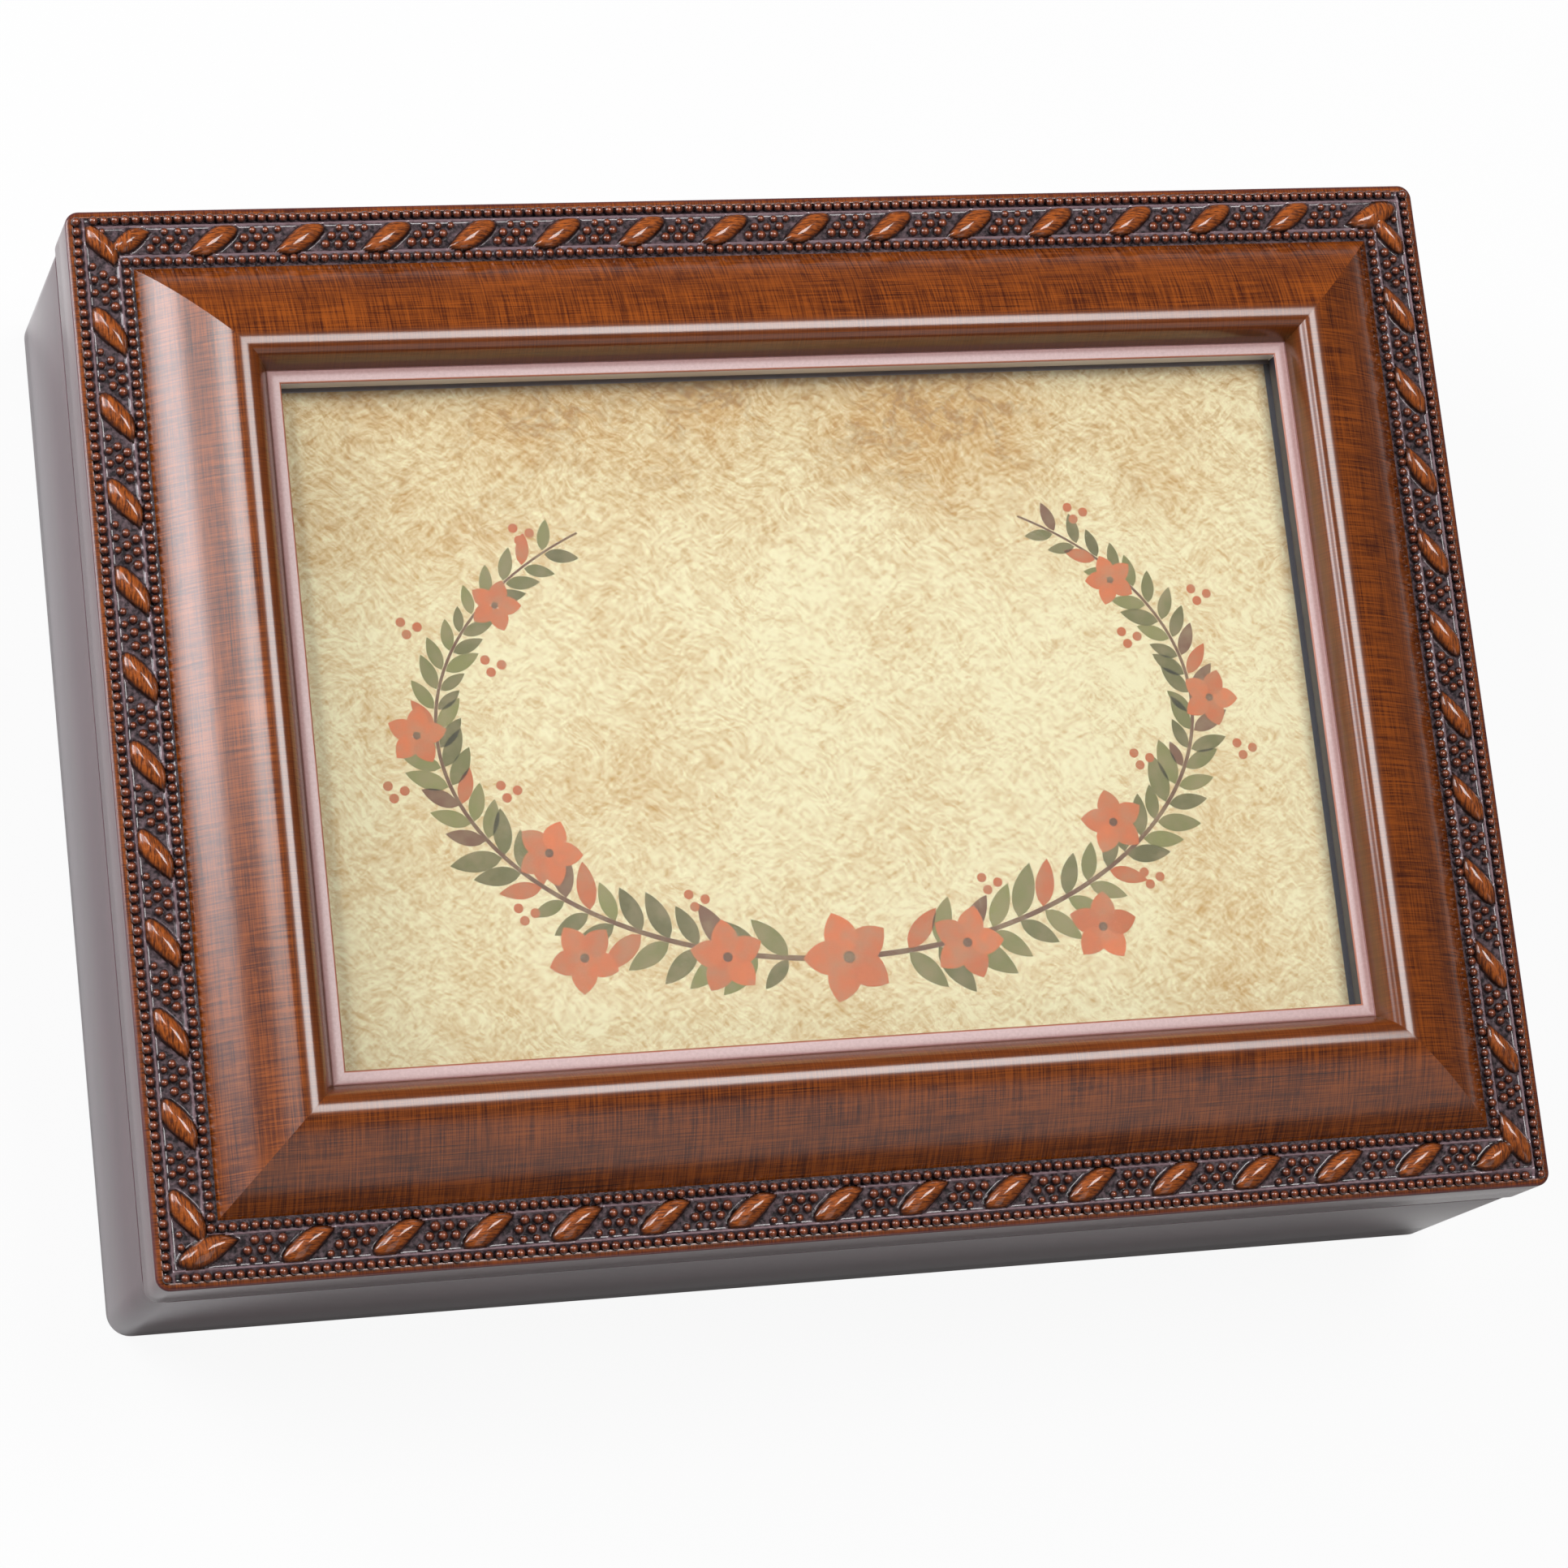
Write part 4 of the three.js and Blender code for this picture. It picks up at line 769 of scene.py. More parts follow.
DRIFT, SIZE_SPREAD, HEIGHT_SPREAD, SUNK, FLATTENED = 0.035, 0.03, 0.03, 0.42, 0.95
rng = np.random.default_rng(7)
ball_points, ball_faces = ball()
ball_fours = np.array([f + [f[-1]] if len(f) == 3 else f for f in ball_faces])
for side in SIDES:
    places = bead_places(side)
    count = len(places)
    places[:, :2] += rng.normal(0, DRIFT, (count, 2))
    along, deep = places[:, 0], places[:, 1]
    radius = places[:, 2] * rng.normal(1, SIZE_SPREAD, count)
    z = lid_bottom + ground(deep) + SUNK * radius + rng.normal(0, HEIGHT_SPREAD, count)
    centre = np.stack((*on_side(side, along, deep), z), -1)
    points = centre[:, None] + ball_points[None] * radius[:, None, None] * (1, 1, FLATTENED)
    carried = {"top": np.broadcast_to((ball_points[:, 2] + 1) / 2, points.shape[:2]).ravel()}
    fours = repeated(ball_fours, len(ball_points), count)
    faces = [f[:3] if f[2] == f[3] else f for f in fours]
    made = make(
        f"beads_{side}", points, faces, copper, "lid", BEAD_CRISP, carried,
        finish_slot="moulding",
    )
    print(made.name, count, "beads,", len(faces), "faces")

# %% [markdown]
# ## Base boards
# The base is four plain boards with upright corners rounded to 3.5 mm, covered with the same kind
# of woodgrain in a darker, plum brown stain. The grain runs at a slant and is only just visible.
# The bottom panel stands in a groove, and the back board is let in for the hinges.

# %% Base boards
plum = Finish(
    "plum_boards", roughness=0.5, specular_ior_level=0.1,
    coat_weight=1.0, coat_roughness=0.1, coat_ior=1.6,
)
slant = plum.rotated(plum.place(attribute="grain"), 0.95)
hair = plum.noise(plum.stretched(slant, (0.25, 3.2, 1.0)), 1.0, 5.0, 0.65)
plum_share = (hair * 0.6 + plum.grain(0.05, 0.12) * 0.5).between(0.38, 0.75)
plum.put(base_color=plum.blend(tone(88, 44, 55), tone(60, 28, 38), plum_share))
plum.put(normal=plum.bump(hair, 0.015, 0.5))

base_height = base_top - base_bottom
groove_low, groove_high, groove_in = 11.85, 15.15, 4.85
board_section = softened(
    [
        (0, 0, 0.7, 5),
        (0, base_height, 0.35, 3),
        (WALL, base_height, 0.3, 3),
        (WALL, groove_high, 0, 0),
        (groove_in, groove_high, 0, 0),
        (groove_in, groove_low, 0, 0),
        (WALL, groove_low, 0, 0),
        (WALL, 0, 0.4, 3),
    ]
)
boards = {}
for side in SIDES:
    boards[side] = stick(
        f"board_{side}", side, board_section, base_bottom, 3.5, plum, "base",
        stands_for=(f"base_{side}_wall",), finish_slot="box_side",
    )

room, let_in, leaf_depth = 0.15, 6.35, 0.95
for hinge in ("left", "right"):
    leaves = [corners(f"hinge_{hinge}_{part}_leaf") for part in ("base", "lid")]
    x0 = min(low[0] for low, high in leaves) - room
    x1 = max(high[0] for low, high in leaves) + room
    for piece, z0, z1 in (
        (boards["back"], base_top - leaf_depth, base_top + 1),
        (rails["back"], lid_bottom - 1, lid_bottom + leaf_depth),
    ):
        notch(piece, (x0, back - let_in, z0), (x1, back + 1, z1))
print("back board and back moulding let in for two hinges")

# %% [markdown]
# ## Picture card
# The card behind the pane looks like old parchment: cream, tan in clouds and towards the back
# edge, and finely crinkled. The crinkles are short streaks of noise at two angles, bent by a slow
# noise, and a few thin creases cross them. Its rim under the lip is painted grey as shade, and
# painted paler along the back edge, as if lit there.

# %% Picture card
parchment = Finish("parchment", roughness=0.75)
here = parchment.place()
warp = parchment.node("ShaderNodeTexNoise", None, {"Vector": here, "Scale": 0.1, "Detail": 3.0}, 1)
bend_inputs = {0: warp, 1: (7.0, 7.0, 7.0), 2: here}
bent = parchment.node("ShaderNodeVectorMath", {"operation": "MULTIPLY_ADD"}, bend_inputs)


def strokes(angle):
    """Short streaks of noise that lie at an angle."""
    drawn = parchment.stretched(parchment.rotated(bent, angle), (0.5, 1.5, 0.2))
    return parchment.noise(drawn, 1.0, 5.0, 0.68)


cloud = parchment.noise(bent, 0.03, 5.0, 0.6)
crease = parchment.noise(bent, 0.07, 6.0, 0.65).line(26.0)
crinkle = strokes(0.7) * 0.55 + strokes(-0.5) * 0.45
grit = parchment.noise(here, 1.4, 4.0, 0.75)
across, up = abs(parchment.axis(here, 0)), parchment.axis(here, 1)
aged = (up + cloud * 30.0).between(30.0, 66.0)

card_low, card_high = corners("print_card")
under_lip, blur = 2.15, 0.1
edge_x, edge_back = card_high[:2] - under_lip
edge_front = card_low[1] + under_lip
beside, behind = (v.between(edge, edge + blur) for v, edge in ((across, edge_x), (up, edge_back)))
before = 1.0 - up.between(edge_front - blur, edge_front)
# The card's rim under the lip is painted grey as shade, paler along the back edge as if lit there.
shade = parchment.blend(tone(84, 86, 98), tone(176, 174, 182), behind)

tanned = (crinkle * 2.2 + cloud * 0.9 + grit * 0.5 + aged * 0.3).between(1.6, 2.24)
paper = parchment.layered(
    tone(255, 245, 198),
    (tone(214, 166, 90), tanned),
    (tone(158, 108, 50), aged * crinkle.between(0.5, 0.72) * 0.55),
    (tone(150, 104, 52), crease * aged.between(0.2, 0.9) * cloud.between(0.4, 0.6) * 0.5),
    (shade, (beside + behind + before).between(0.0, 1.0)),
)
parchment.put(base_color=paper, normal=parchment.bump(crinkle + grit * 0.2, 0.1, 0.4))

card_top = card_high[2] - 0.06
card = rounded_box(card_low, (*card_high[:2], card_top), 0.12, (12, 8, 1))
make("parchment_card", *card, parchment, "lid", stands_for=("print_card",), finish_slot="print")
print("parchment of", len(parchment.tree.nodes), "nodes")

# %% [markdown]
# ## Printed garland
# The card carries a plain decoration of this script's own: two fern sprays that curve round an
# open oval, with five-petalled blossoms and berries. Every leaflet, petal and stem is a paper-thin
# prism a few hundredths of a millimetre above the card, printed in watery sage, coral and brown.

# %% Printed garland
ink = Finish("garland_ink", roughness=0.8)
blot = ink.noise(ink.place(), 0.35, 4.0, 0.65)
pigment = ink.node("ShaderNodeAttribute", {"attribute_name": "pigment"}, out="Vector")
ink.put(base_color=ink.blend(pigment, tone(226, 200, 150), blot.between(0.42, 0.8) * 0.5))
ink.put(alpha=(1.0 - blot.between(0.35, 0.9) * 0.4) * 0.82)

SAGE, OLIVE, CORAL, BROWN = (
    np.array(tone(*colour)[:3])
    for colour in ((158, 156, 84), (118, 112, 56), (236, 128, 66), (132, 88, 56))
)
BERRY = CORAL * 0.85 + BROWN * 0.15
OVAL_X, OVAL_Y, SPRAY_STEPS, SPRAY_END = 56.0, 35.0, 64, 0.8
BLOSSOMS = ((0.1, 1.02), (0.2, 1.16), (0.31, 0.9), (0.5, 1.05), (0.68, 0.97))
BERRIES = (
    (0.15, 0.85), (0.26, 1.13), (0.4, 0.88), (0.43, 1.15), (0.59, 0.88), (0.62, 1.13), (0.76, 1.08)
)
INK_GAP, LAYER_STEP, INK_THICK = 0.008, 0.014, 0.012
garland = {"points": [], "faces": [], "pigment": [], "count": 0}


def print_shape(flat, colour, layer=0):
    """A flat outline of points (x, y) as a thin closed prism of one pigment, in a layer of ink."""
    n, start = len(flat), garland["count"]
    low = card_top + INK_GAP + LAYER_STEP * layer
    both = np.concatenate([np.column_stack((flat, np.full(n, z))) for z in (low, low + INK_THICK)])
    garland["points"].append(both)
    garland["pigment"].append(np.broadcast_to(colour, both.shape))
    ring = np.arange(n)
    after = (ring + 1) % n
    garland["faces"] += (np.stack((ring, after, after + n, ring + n), -1) + start).tolist()
    garland["faces"] += [(ring[::-1] + start).tolist(), (ring + n + start).tolist()]
    garland["count"] += 2 * n


def leaflet(at, way, length, broad, colour, layer=1):
    """A pointed oval that starts at a place: half width is broad times sine of pi t, to the 0.8."""
    t = np.linspace(0, 1, 9)
    half = broad * np.sin(math.pi * t**0.85) ** 0.8
    x = np.concatenate((t * length, t[-2:0:-1] * length))
    y = np.concatenate((half, -half[-2:0:-1]))
    c, s = math.cos(way), math.sin(way)
    print_shape(np.stack((at[0] + c * x - s * y, at[1] + s * x + c * y), -1), colour, layer)


def disc(at, radius, corner_count, colour, layer):
    """A round blot of ink."""
    ring = np.linspace(0, 2 * math.pi, corner_count, endpoint=False)
    print_shape(at + radius * np.stack((np.cos(ring), np.sin(ring)), -1), colour, layer)


def oval(t, grow=1.0):
    """A place on the garland's oval, t in half turns from the bottom."""
    turn, middle_y = math.pi * t, (card_low[1] + card_high[1]) / 2 - 1.5
    return np.array((OVAL_X * grow * math.sin(turn), middle_y - OVAL_Y * grow * math.cos(turn)))


def blossom(at, size):
    """Five broad petals round a small brown middle."""
    first = rng.random() * 6
    for petal in range(5):
        way = first + petal * 2 * math.pi / 5
        root = at + 0.35 * np.array((math.cos(way), math.sin(way)))
        leaflet(root, way, size, size * 0.38, CORAL * rng.normal(1, 0.07), 2 + 0.2 * petal)
    disc(at, 0.14 * size, 10, BROWN, 4)


for hand in (-1, 1):
    line = np.array([oval(hand * u) for u in np.linspace(0.0, SPRAY_END, SPRAY_STEPS)])
    tangent = np.gradient(line, axis=0)
    tangent /= np.linalg.norm(tangent, axis=1, keepdims=True)
    side_way = np.stack((-tangent[:, 1], tangent[:, 0]), -1)
    thick = side_way * np.linspace(0.4, 0.15, SPRAY_STEPS)[:, None]
    print_shape(np.concatenate((line + thick, (line - thick)[::-1])), BROWN)
    for i in range(4, SPRAY_STEPS - 2, 2):
        far = i / (SPRAY_STEPS - 2)
        for lean in (-1, 1):
            way = math.atan2(tangent[i, 1], tangent[i, 0]) + lean * (0.95 - 0.3 * far)
            pick = rng.random()
            shade = SAGE + (OLIVE - SAGE) * rng.random()
            if pick > 0.8:
                shade = BROWN * 1.15 if pick > 0.9 else CORAL * 0.9
            size = (7.6 - 3.4 * far) * rng.normal(1, 0.1)
            root = line[i] + side_way[i] * lean * 0.3
            leaflet(root, way + rng.normal(0, 0.1), size, size * 0.2, shade)
    for place, grow in BLOSSOMS:
        blossom(oval(hand * place, grow), 5.4 - 2.8 * place)
    for place, grow in BERRIES:
        for shift in ((0, 0), (1.6, 1.0), (-0.7, 1.8)):
            disc(oval(hand * place, grow) + shift, 0.7, 12, BERRY, 2)
blossom(oval(0.0), 6.4)

make(
    "printed_garland", np.concatenate(garland["points"]), garland["faces"], ink, "lid",
    carried={"pigment": np.concatenate(garland["pigment"])}, finish_slot="print",
)
print("garland of", garland["count"], "points")

# %% [markdown]
# ## Pane and backing board
# The pane is clear glass with eased edges. Most of its surface lets light straight through, so it
# is mostly see-through by its alpha, with a faint gloss. The backing board behind the card is
# fibre board with a slightly fuzzy face.

# %% Pane and backing board
pane = Finish("clear_pane", base_color=tone(240, 246, 246), alpha=0.04)
smear = pane.noise(pane.place(), 0.05, 2.0)
pane.put(roughness=smear * 0.06 + 0.01)
low, high = corners("cover_glass")
glass = rounded_box(low + (0, 0, 0.12), high, 0.3)
make("glass_pane", *glass, pane, "lid", stands_for=("cover_glass",), finish_slot="pane")

fibreboard = Finish("fibre_board", roughness=0.8)
lint = fibreboard.noise(fibreboard.place((0.6, 2.2, 1.0)), 1.0, 5.0, 0.7)
dust = fibreboard.noise(fibreboard.place(), 2.5, 3.0, 0.6)
fuzz = (lint * 0.7 + dust * 0.4).between(0.35, 0.75)
fibreboard.put(base_color=fibreboard.blend(tone(122, 96, 74), tone(80, 60, 46), fuzz))
fibreboard.put(normal=fibreboard.bump(lint + dust, 0.06, 0.6))
board = rounded_box(*corners("backing_board"), 0.35, (2, 2, 1))
make("back_card", *board, fibreboard, "lid", stands_for=("backing_board",), finish_slot="board")
print("glass pane and backing board")

# %% [markdown]
# ## Velvet linings and dividers
# The tray is lined with wine red velvet over thin card, and two dividers covered with the same
# velvet fence off the movement. Velvet is dark seen straight on and pale at a grazing angle, which
# is what the shader's sheen does; a slow noise gives the patches where the pile was stroked.

# %% Velvet linings and dividers
velvet = Finish(
    "wine_velvet", roughness=0.95, specular_ior_level=0.1,
    sheen_weight=0.6, sheen_roughness=0.35, sheen_tint=tone(226, 150, 158),
)
pile = velvet.noise(velvet.place(), 4.5, 3.0, 0.7)
stroked = velvet.noise(velvet.place((0.05, 0.03, 0.08)), 1.0, 3.0, 0.55)
nap = (pile * 0.7 + stroked * 0.6).between(0.42, 0.9)
velvet.put(base_color=velvet.blend(tone(62, 10, 20), tone(128, 26, 42), nap))
velvet.put(normal=velvet.bump(pile, 0.12, 0.8))


def combined(*shapes):
    """Several (points, faces) as one."""
    points, faces = [], []
    for some_points, some_faces in shapes:
        count = sum(map(len, points))
        faces += [[count + n for n in face] for face in some_faces]
        points.append(np.asarray(some_points).reshape(-1, 3))
    return np.concatenate(points), faces


def slab(outline, low, high, edge, steps=4):
    """A flat piece with a rounded rim: the outline is drawn in by edge times one minus the sine
    of a quarter turn while the height rises by edge times one minus the cosine."""
    outline = np.asarray(outline, float)
    before, after = np.roll(outline, 1, 0), np.roll(outline, -1, 0)
    tangent = after - before
    area = (outline[:, 0] * after[:, 1] - outline[:, 1] * after[:, 0]).sum()
    inward = np.stack((-tangent[:, 1], tangent[:, 0]), -1) * np.sign(area)
    inward /= np.linalg.norm(inward, axis=1, keepdims=True)
    quarter = np.linspace(0, math.pi / 2, steps + 1)
    drawn = edge * (1 - np.sin(quarter))
    rise = edge * (1 - np.cos(quarter))
    drawn = np.concatenate((drawn, drawn[::-1]))
    level = np.concatenate((low + rise, (high - rise)[::-1]))
    flat = outline[None] + inward[None] * drawn[:, None, None]
    points = np.concatenate((flat, level[:, None, None] + 0 * flat[..., :1]), -1)
    rows, columns = flat.shape[:2]
    caps = [np.arange(columns)[::-1].tolist(), (np.arange(columns) + (rows - 1) * columns).tolist()]
    return points, grid(rows, columns, wrap_columns=True) + caps


for node in (*(f"lining_{side}" for side in SIDES), "divider_side", "divider_front"):
    low, high = corners(node)
    pad = rounded_box(low, high, min(high - low) * 0.42, (6, 6, 3), 4)
    made = make(
        f"velvet_{node}", *pad, velvet, "base", SOFT_CRISP,
        stands_for=(node,), finish_slot="velvet",
    )

(x0, y0, floor_low), (x1, y1, floor_high) = corners("lining_floor")
notch_x, notch_y = corners("divider_side")[1][0] + 0.2, corners("divider_front")[0][1] - 0.2
tray = [(x0, y0), (x1, y0), (x1, y1), (notch_x, y1), (notch_x, notch_y), (x0, notch_y)]
pad = slab(softened([(x, y, 0.6, 4) for x, y in tray]), floor_low, floor_high, 0.4)
made = make(
    "velvet_floor", *pad, velvet, "base", SOFT_CRISP,
    stands_for=("lining_floor",), finish_slot="velvet",
)
print("velvet over five linings and two dividers")

# %% [markdown]
# ## Feet
# Four discs of pressed felt keep the box from scratching a table. A disc is a turned piece: a
# profile of radius and height swept round an axis. The same sweep makes the barrel, the drum and
# the screws further down, so the helper takes an upright axis or one along X.

# %% Feet
felt = Finish("pressed_felt", roughness=1.0, specular_ior_level=0.05, sheen_weight=0.2)
hairs = felt.noise(felt.place(), 3.0, 5.0, 0.75)
felt.put(base_color=felt.blend(tone(34, 30, 28), tone(74, 68, 64), hairs.between(0.4, 0.7)))
felt.put(normal=felt.bump(hairs, 0.2, 0.9))
ENDS, BULGE = ("front_left", "front_right", "back_left", "back_right"), 0.25


def turned(centre, axis, profile, around=48, swell=None):
    """Points and faces of a turned piece. Each (radius, place) of the profile goes round the axis;
    swell, if given, is added to the radius at every row and angle. A profile that starts on the
    axis also ends there; any other is a ring that closes on itself."""
    profile = np.array(profile, float)
    angle = np.linspace(0, 2 * math.pi, around, endpoint=False)[None, :]
    radius = profile[:, :1] + (0 if swell is None else swell)
    a, b, along = radius * np.cos(angle), radius * np.sin(angle), profile[:, 1:] + 0 * angle
    order = (along, a, b) if axis == "x" else (a, b, along)
    points = np.stack(order, -1) + np.array(centre)
    return points, grid(len(profile), around, wrap_rows=profile[0][0] > 0, wrap_columns=True)


def both_ends(half, low, high):
    """A profile alike at both ends: (radius, way in from the end) from low, and back from high."""
    return [(r, low + way) for r, way in half] + [(r, high - way) for r, way in half[::-1]]


half_turn = np.linspace(0, math.pi, 9)
for end in ENDS:
    low, high = corners(f"foot_pad_{end}")
    x, y = (low[:2] + high[:2]) / 2
    size, top = (high[0] - low[0]) / 2, high[2]
    rim = zip(size - BULGE * (1 - np.sin(half_turn)), 0.5 * top * (1 - np.cos(half_turn)))
    shape = turned((x, y, 0), "z", [(0, 0), *rim, (0, top)])
    made = make(
        f"felt_foot_{end}", *shape, felt, "base", SOFT_CRISP,
        stands_for=(f"foot_pad_{end}",), finish_slot="felt",
    )
print("four felt feet")

# %% [markdown]
# ## Metals, clear cover and bottom board
# Three metals do the work inside: yellow brass, bright steel for comb, shafts and screws, and a
# grey die casting for plates and bearings. Brass has brown patina in patches, steel has fine
# scratches, the casting a sandy skin. These finishes read Object coordinates, so they suit the
# exact CAD solids, which stay wherever their shape is right.

# %% Metals, clear cover and bottom board
def metal(name, bright, dull, rough, relief, scale):
    """A metal with patches of a duller tone, roughness that follows them, and a fine skin."""
    finish = Finish(name, metallic=1.0)
    patch = finish.noise(finish.place(), 0.16, 4.0, 0.6)
    skin = finish.noise(finish.place(scale), 1.0, 4.0, 0.65)
    share = (patch * 0.7 + skin * 0.5).between(0.45, 0.85)
    finish.put(base_color=finish.blend(bright, dull, share), roughness=share * 0.18 + rough)
    return finish.put(normal=finish.bump(skin, relief, 0.6))


brass = metal("yellow_brass", tone(226, 184, 104), tone(160, 114, 52), 0.24, 0.01, (2.0, 2.0, 7.0))
steel = metal("bright_steel", tone(206, 206, 208), tone(142, 142, 146), 0.26, 0.01, (7.0, 2.0, 2.0))
sand = (3.0, 3.0, 3.0)
casting = metal("grey_casting", tone(168, 168, 170), tone(118, 118, 122), 0.46, 0.05, sand)

clear = Finish("clear_plastic", base_color=tone(104, 112, 114), alpha=0.1)
haze = clear.noise(clear.place(), 0.04, 3.0)
clear.put(roughness=haze * 0.1 + 0.02)

wearing = {
    brass: "winding_key cylinder_wheel cylinder_gear second_shaft turn_button_front_left "
    "turn_button_front_right turn_button_back_left turn_button_back_right",
    steel: "tuned_comb mainspring winding_arbor cylinder_arbor stop_rod",
    casting: "movement_bedplate bearing_left bearing_right governor_bracket",
    clear: "movement_cover",
    fibreboard: "bottom_panel",
}
for finish, nodes in wearing.items():
    for node in nodes.split():
        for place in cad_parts[node].material_slots:
            place.material = finish.material
    print(finish.material.name, "on", len(nodes.split()), "CAD solids")

# %% [markdown]
# ## Screws
# Every screw is a turned piece with a low dome and a sawn slot. They stand head down, under the
# bottom board and under the lid, or head up in the comb. The slots point different ways.

# %% Screws
DOME_TURNS = np.linspace(0, math.pi / 2, 7)
# Head radius, shank radius and head thickness.
MOVEMENT_SCREW, COMB_SCREW, BUTTON_SCREW = (2.6, 1.2, 1.2), (1.9, 0.9, 1.0), (2.6, 1.1, 0.9)


def slotted_screw(node, sizes, finish, body, head_up, way):
    """A screw as tall as its CAD solid, with its head up or down and its slot turned by way."""
    head, shank, thick = sizes
    low, high = corners(node)
    x, y = (low[:2] + high[:2]) / 2
    tall, eased, tip = high[2] - low[2], 0.08, 0.3
    dome = [(head * math.sin(a) ** 0.8, 0.35 * thick * (1 - math.cos(a))) for a in DOME_TURNS]
    profile = [
        *dome, (head, thick - eased), (head - eased, thick), (shank, thick),
        (shank, tall - tip), (shank - tip, tall), (0, tall),
    ]
    profile = [(r, high[2] - z if head_up else low[2] + z) for r, z in profile]
    shape = turned((x, y, 0), "z", profile, 36)
    screw = make(f"screw_{node}", *shape, finish, body, stands_for=(node,), finish_slot="steel")
    broad, deep = 0.13 * head, 0.5 * thick
    z0, z1 = (high[2] - deep, high[2] + 1) if head_up else (low[2] - 1, low[2] + deep)
    notch(screw, (x - head - 1, y - broad, z0), (x + head + 1, y + broad, z1))
    here = Vector((x, y, 0)) * MM
    there, back_again = Matrix.Translation(-here), Matrix.Translation(here)
    screw.data.transform(back_again @ Matrix.Rotation(way, 4, "Z") @ there)
    return screw


for number in (1, 2):
    slotted_screw(f"movement_screw_{number}", MOVEMENT_SCREW, steel, "base", False, 0.9 * number)
    slotted_screw(f"comb_screw_{number}", COMB_SCREW, steel, "base", True, 0.4 + number)
for number, end in enumerate(ENDS):
    way = 0.5 + 1.1 * number
    made = slotted_screw(f"turn_button_screw_{end}", BUTTON_SCREW, brass, "lid", False, way)
print("eight slotted screws")

# %% [markdown]
# ## Spring barrel
# The mainspring sits in a round cup with a flange, whose upright teeth drive the cylinder's wheel.
# Cup and lid are turned; the thirty-five teeth are one small block, turned again and again in a
# single array product.

# %% Spring barrel
TEETH, TOOTH_IN, TOOTH_OUT, TOOTH_HALF, BORE = 35, 9.4, 11.2, 0.46, 1.8
low, high = corners("barrel_cap")
barrel_x, barrel_y = (low[:2] + high[:2]) / 2
cup_radius, cap_low, cap_high = (high[0] - low[0]) / 2, low[2], high[2]
floor_z, rim_radius, rim_thick, thick = corners("spring_barrel")[0][2], 11.5, 1.2, 0.8
EASED = 0.15
rim_edge = [(BORE, 0), (rim_radius - EASED, 0), (rim_radius, EASED)]
rim = both_ends(rim_edge, floor_z, floor_z + rim_thick)
cup = [
    *rim[:-1], (cup_radius + 0.4, floor_z + rim_thick), (cup_radius, floor_z + 1.6),
    (cup_radius, cap_low), (cup_radius - thick, cap_low),
    (cup_radius - thick, floor_z + thick), (BORE, floor_z + thick),
]
tooth_low = (TOOTH_IN, -TOOTH_HALF, floor_z + 1.1)
tooth_high = (TOOTH_OUT, TOOTH_HALF, floor_z + 2.1)
tooth_points, tooth_faces = rounded_box(tooth_low, tooth_high, 0.12, steps=1)
spin = 2 * math.pi * np.arange(TEETH) / TEETH
c, s = np.cos(spin)[:, None], np.sin(spin)[:, None]
x, y, z = tooth_points.T
teeth = np.stack((c * x - s * y + barrel_x, s * x + c * y + barrel_y, z + 0 * c), -1)
tooth_rows = repeated(tooth_faces, len(tooth_points), TEETH)
shape = combined(turned((barrel_x, barrel_y, 0), "z", cup, 96), (teeth, tooth_rows))
make(
    "brass_barrel", *shape, brass, "barrel", METAL_CRISP,
    stands_for=("spring_barrel",), finish_slot="brass",
)
cap = [
    (BORE, cap_low), (cup_radius - 0.1, cap_low), (cup_radius, cap_low + 0.1),
    (cup_radius, cap_high - 0.2), (cup_radius - 0.2, cap_high), (5.7, cap_high),
    (5.5, cap_high - 0.3), (3.4, cap_high - 0.3), (3.2, cap_high), (BORE, cap_high),
]
make(
    "brass_barrel_cap", *turned((barrel_x, barrel_y, 0), "z", cap, 96), brass, "barrel",
    METAL_CRISP, stands_for=("barrel_cap",), finish_slot="brass",
)
print("barrel with", TEETH, "crown teeth")

# %% [markdown]
# ## Pinned cylinder
# The tune is written on a brass drum as pins in eighteen tracks, one for each tooth of the comb.
# The pins stand at random but seeded places. Each is a little six-sided peg, placed by turning one
# peg round the drum.

# %% Pinned cylinder
TRACKS, SLOTS, PINS = 18, 44, 15
PEG_RADII, PEG_HEIGHTS, FIRST_TRACK = (0.19, 0.11), (-0.15, 0.66), 0.5
low, high = corners("pinned_cylinder")
axle = np.array((0, (low[1] + high[1]) / 2, (low[2] + high[2]) / 2))
drum_radius = (high[2] - low[2]) / 2
rolled_edge = [
    (0.95, 0), (drum_radius - 0.9, 0), (drum_radius - 0.7, 0.25),
    (drum_radius - 0.3, 0.25), (drum_radius, 0.5),
]
drum = both_ends(rolled_edge, low[0], high[0])
tracks = [(n, slot) for n in range(TRACKS) for slot in rng.choice(SLOTS, PINS, replace=False)]
track, slot = np.array(tracks, float).T
turns = (slot + 0.3 * rng.random(slot.size)) * 2 * math.pi / SLOTS
six = np.arange(6) * math.pi / 3
across, round_drum = (np.outer(PEG_RADII, wave).ravel() for wave in (np.cos(six), np.sin(six)))
out = drum_radius + np.repeat(PEG_HEIGHTS, 6)
along = low[0] + FIRST_TRACK + track[:, None] + across
c, s = np.cos(turns)[:, None], np.sin(turns)[:, None]
pegs = np.stack((along, c * out - s * round_drum, s * out + c * round_drum), -1) + axle
peg_sides = [(i, (i + 1) % 6, 6 + (i + 1) % 6, 6 + i) for i in range(6)]
peg_faces = []
for faces in (peg_sides, [range(5, -1, -1)], [range(6, 12)]):
    peg_faces += repeated(faces, 12, len(pegs))
shape = combined(turned(axle, "x", drum, 72), (pegs, peg_faces))
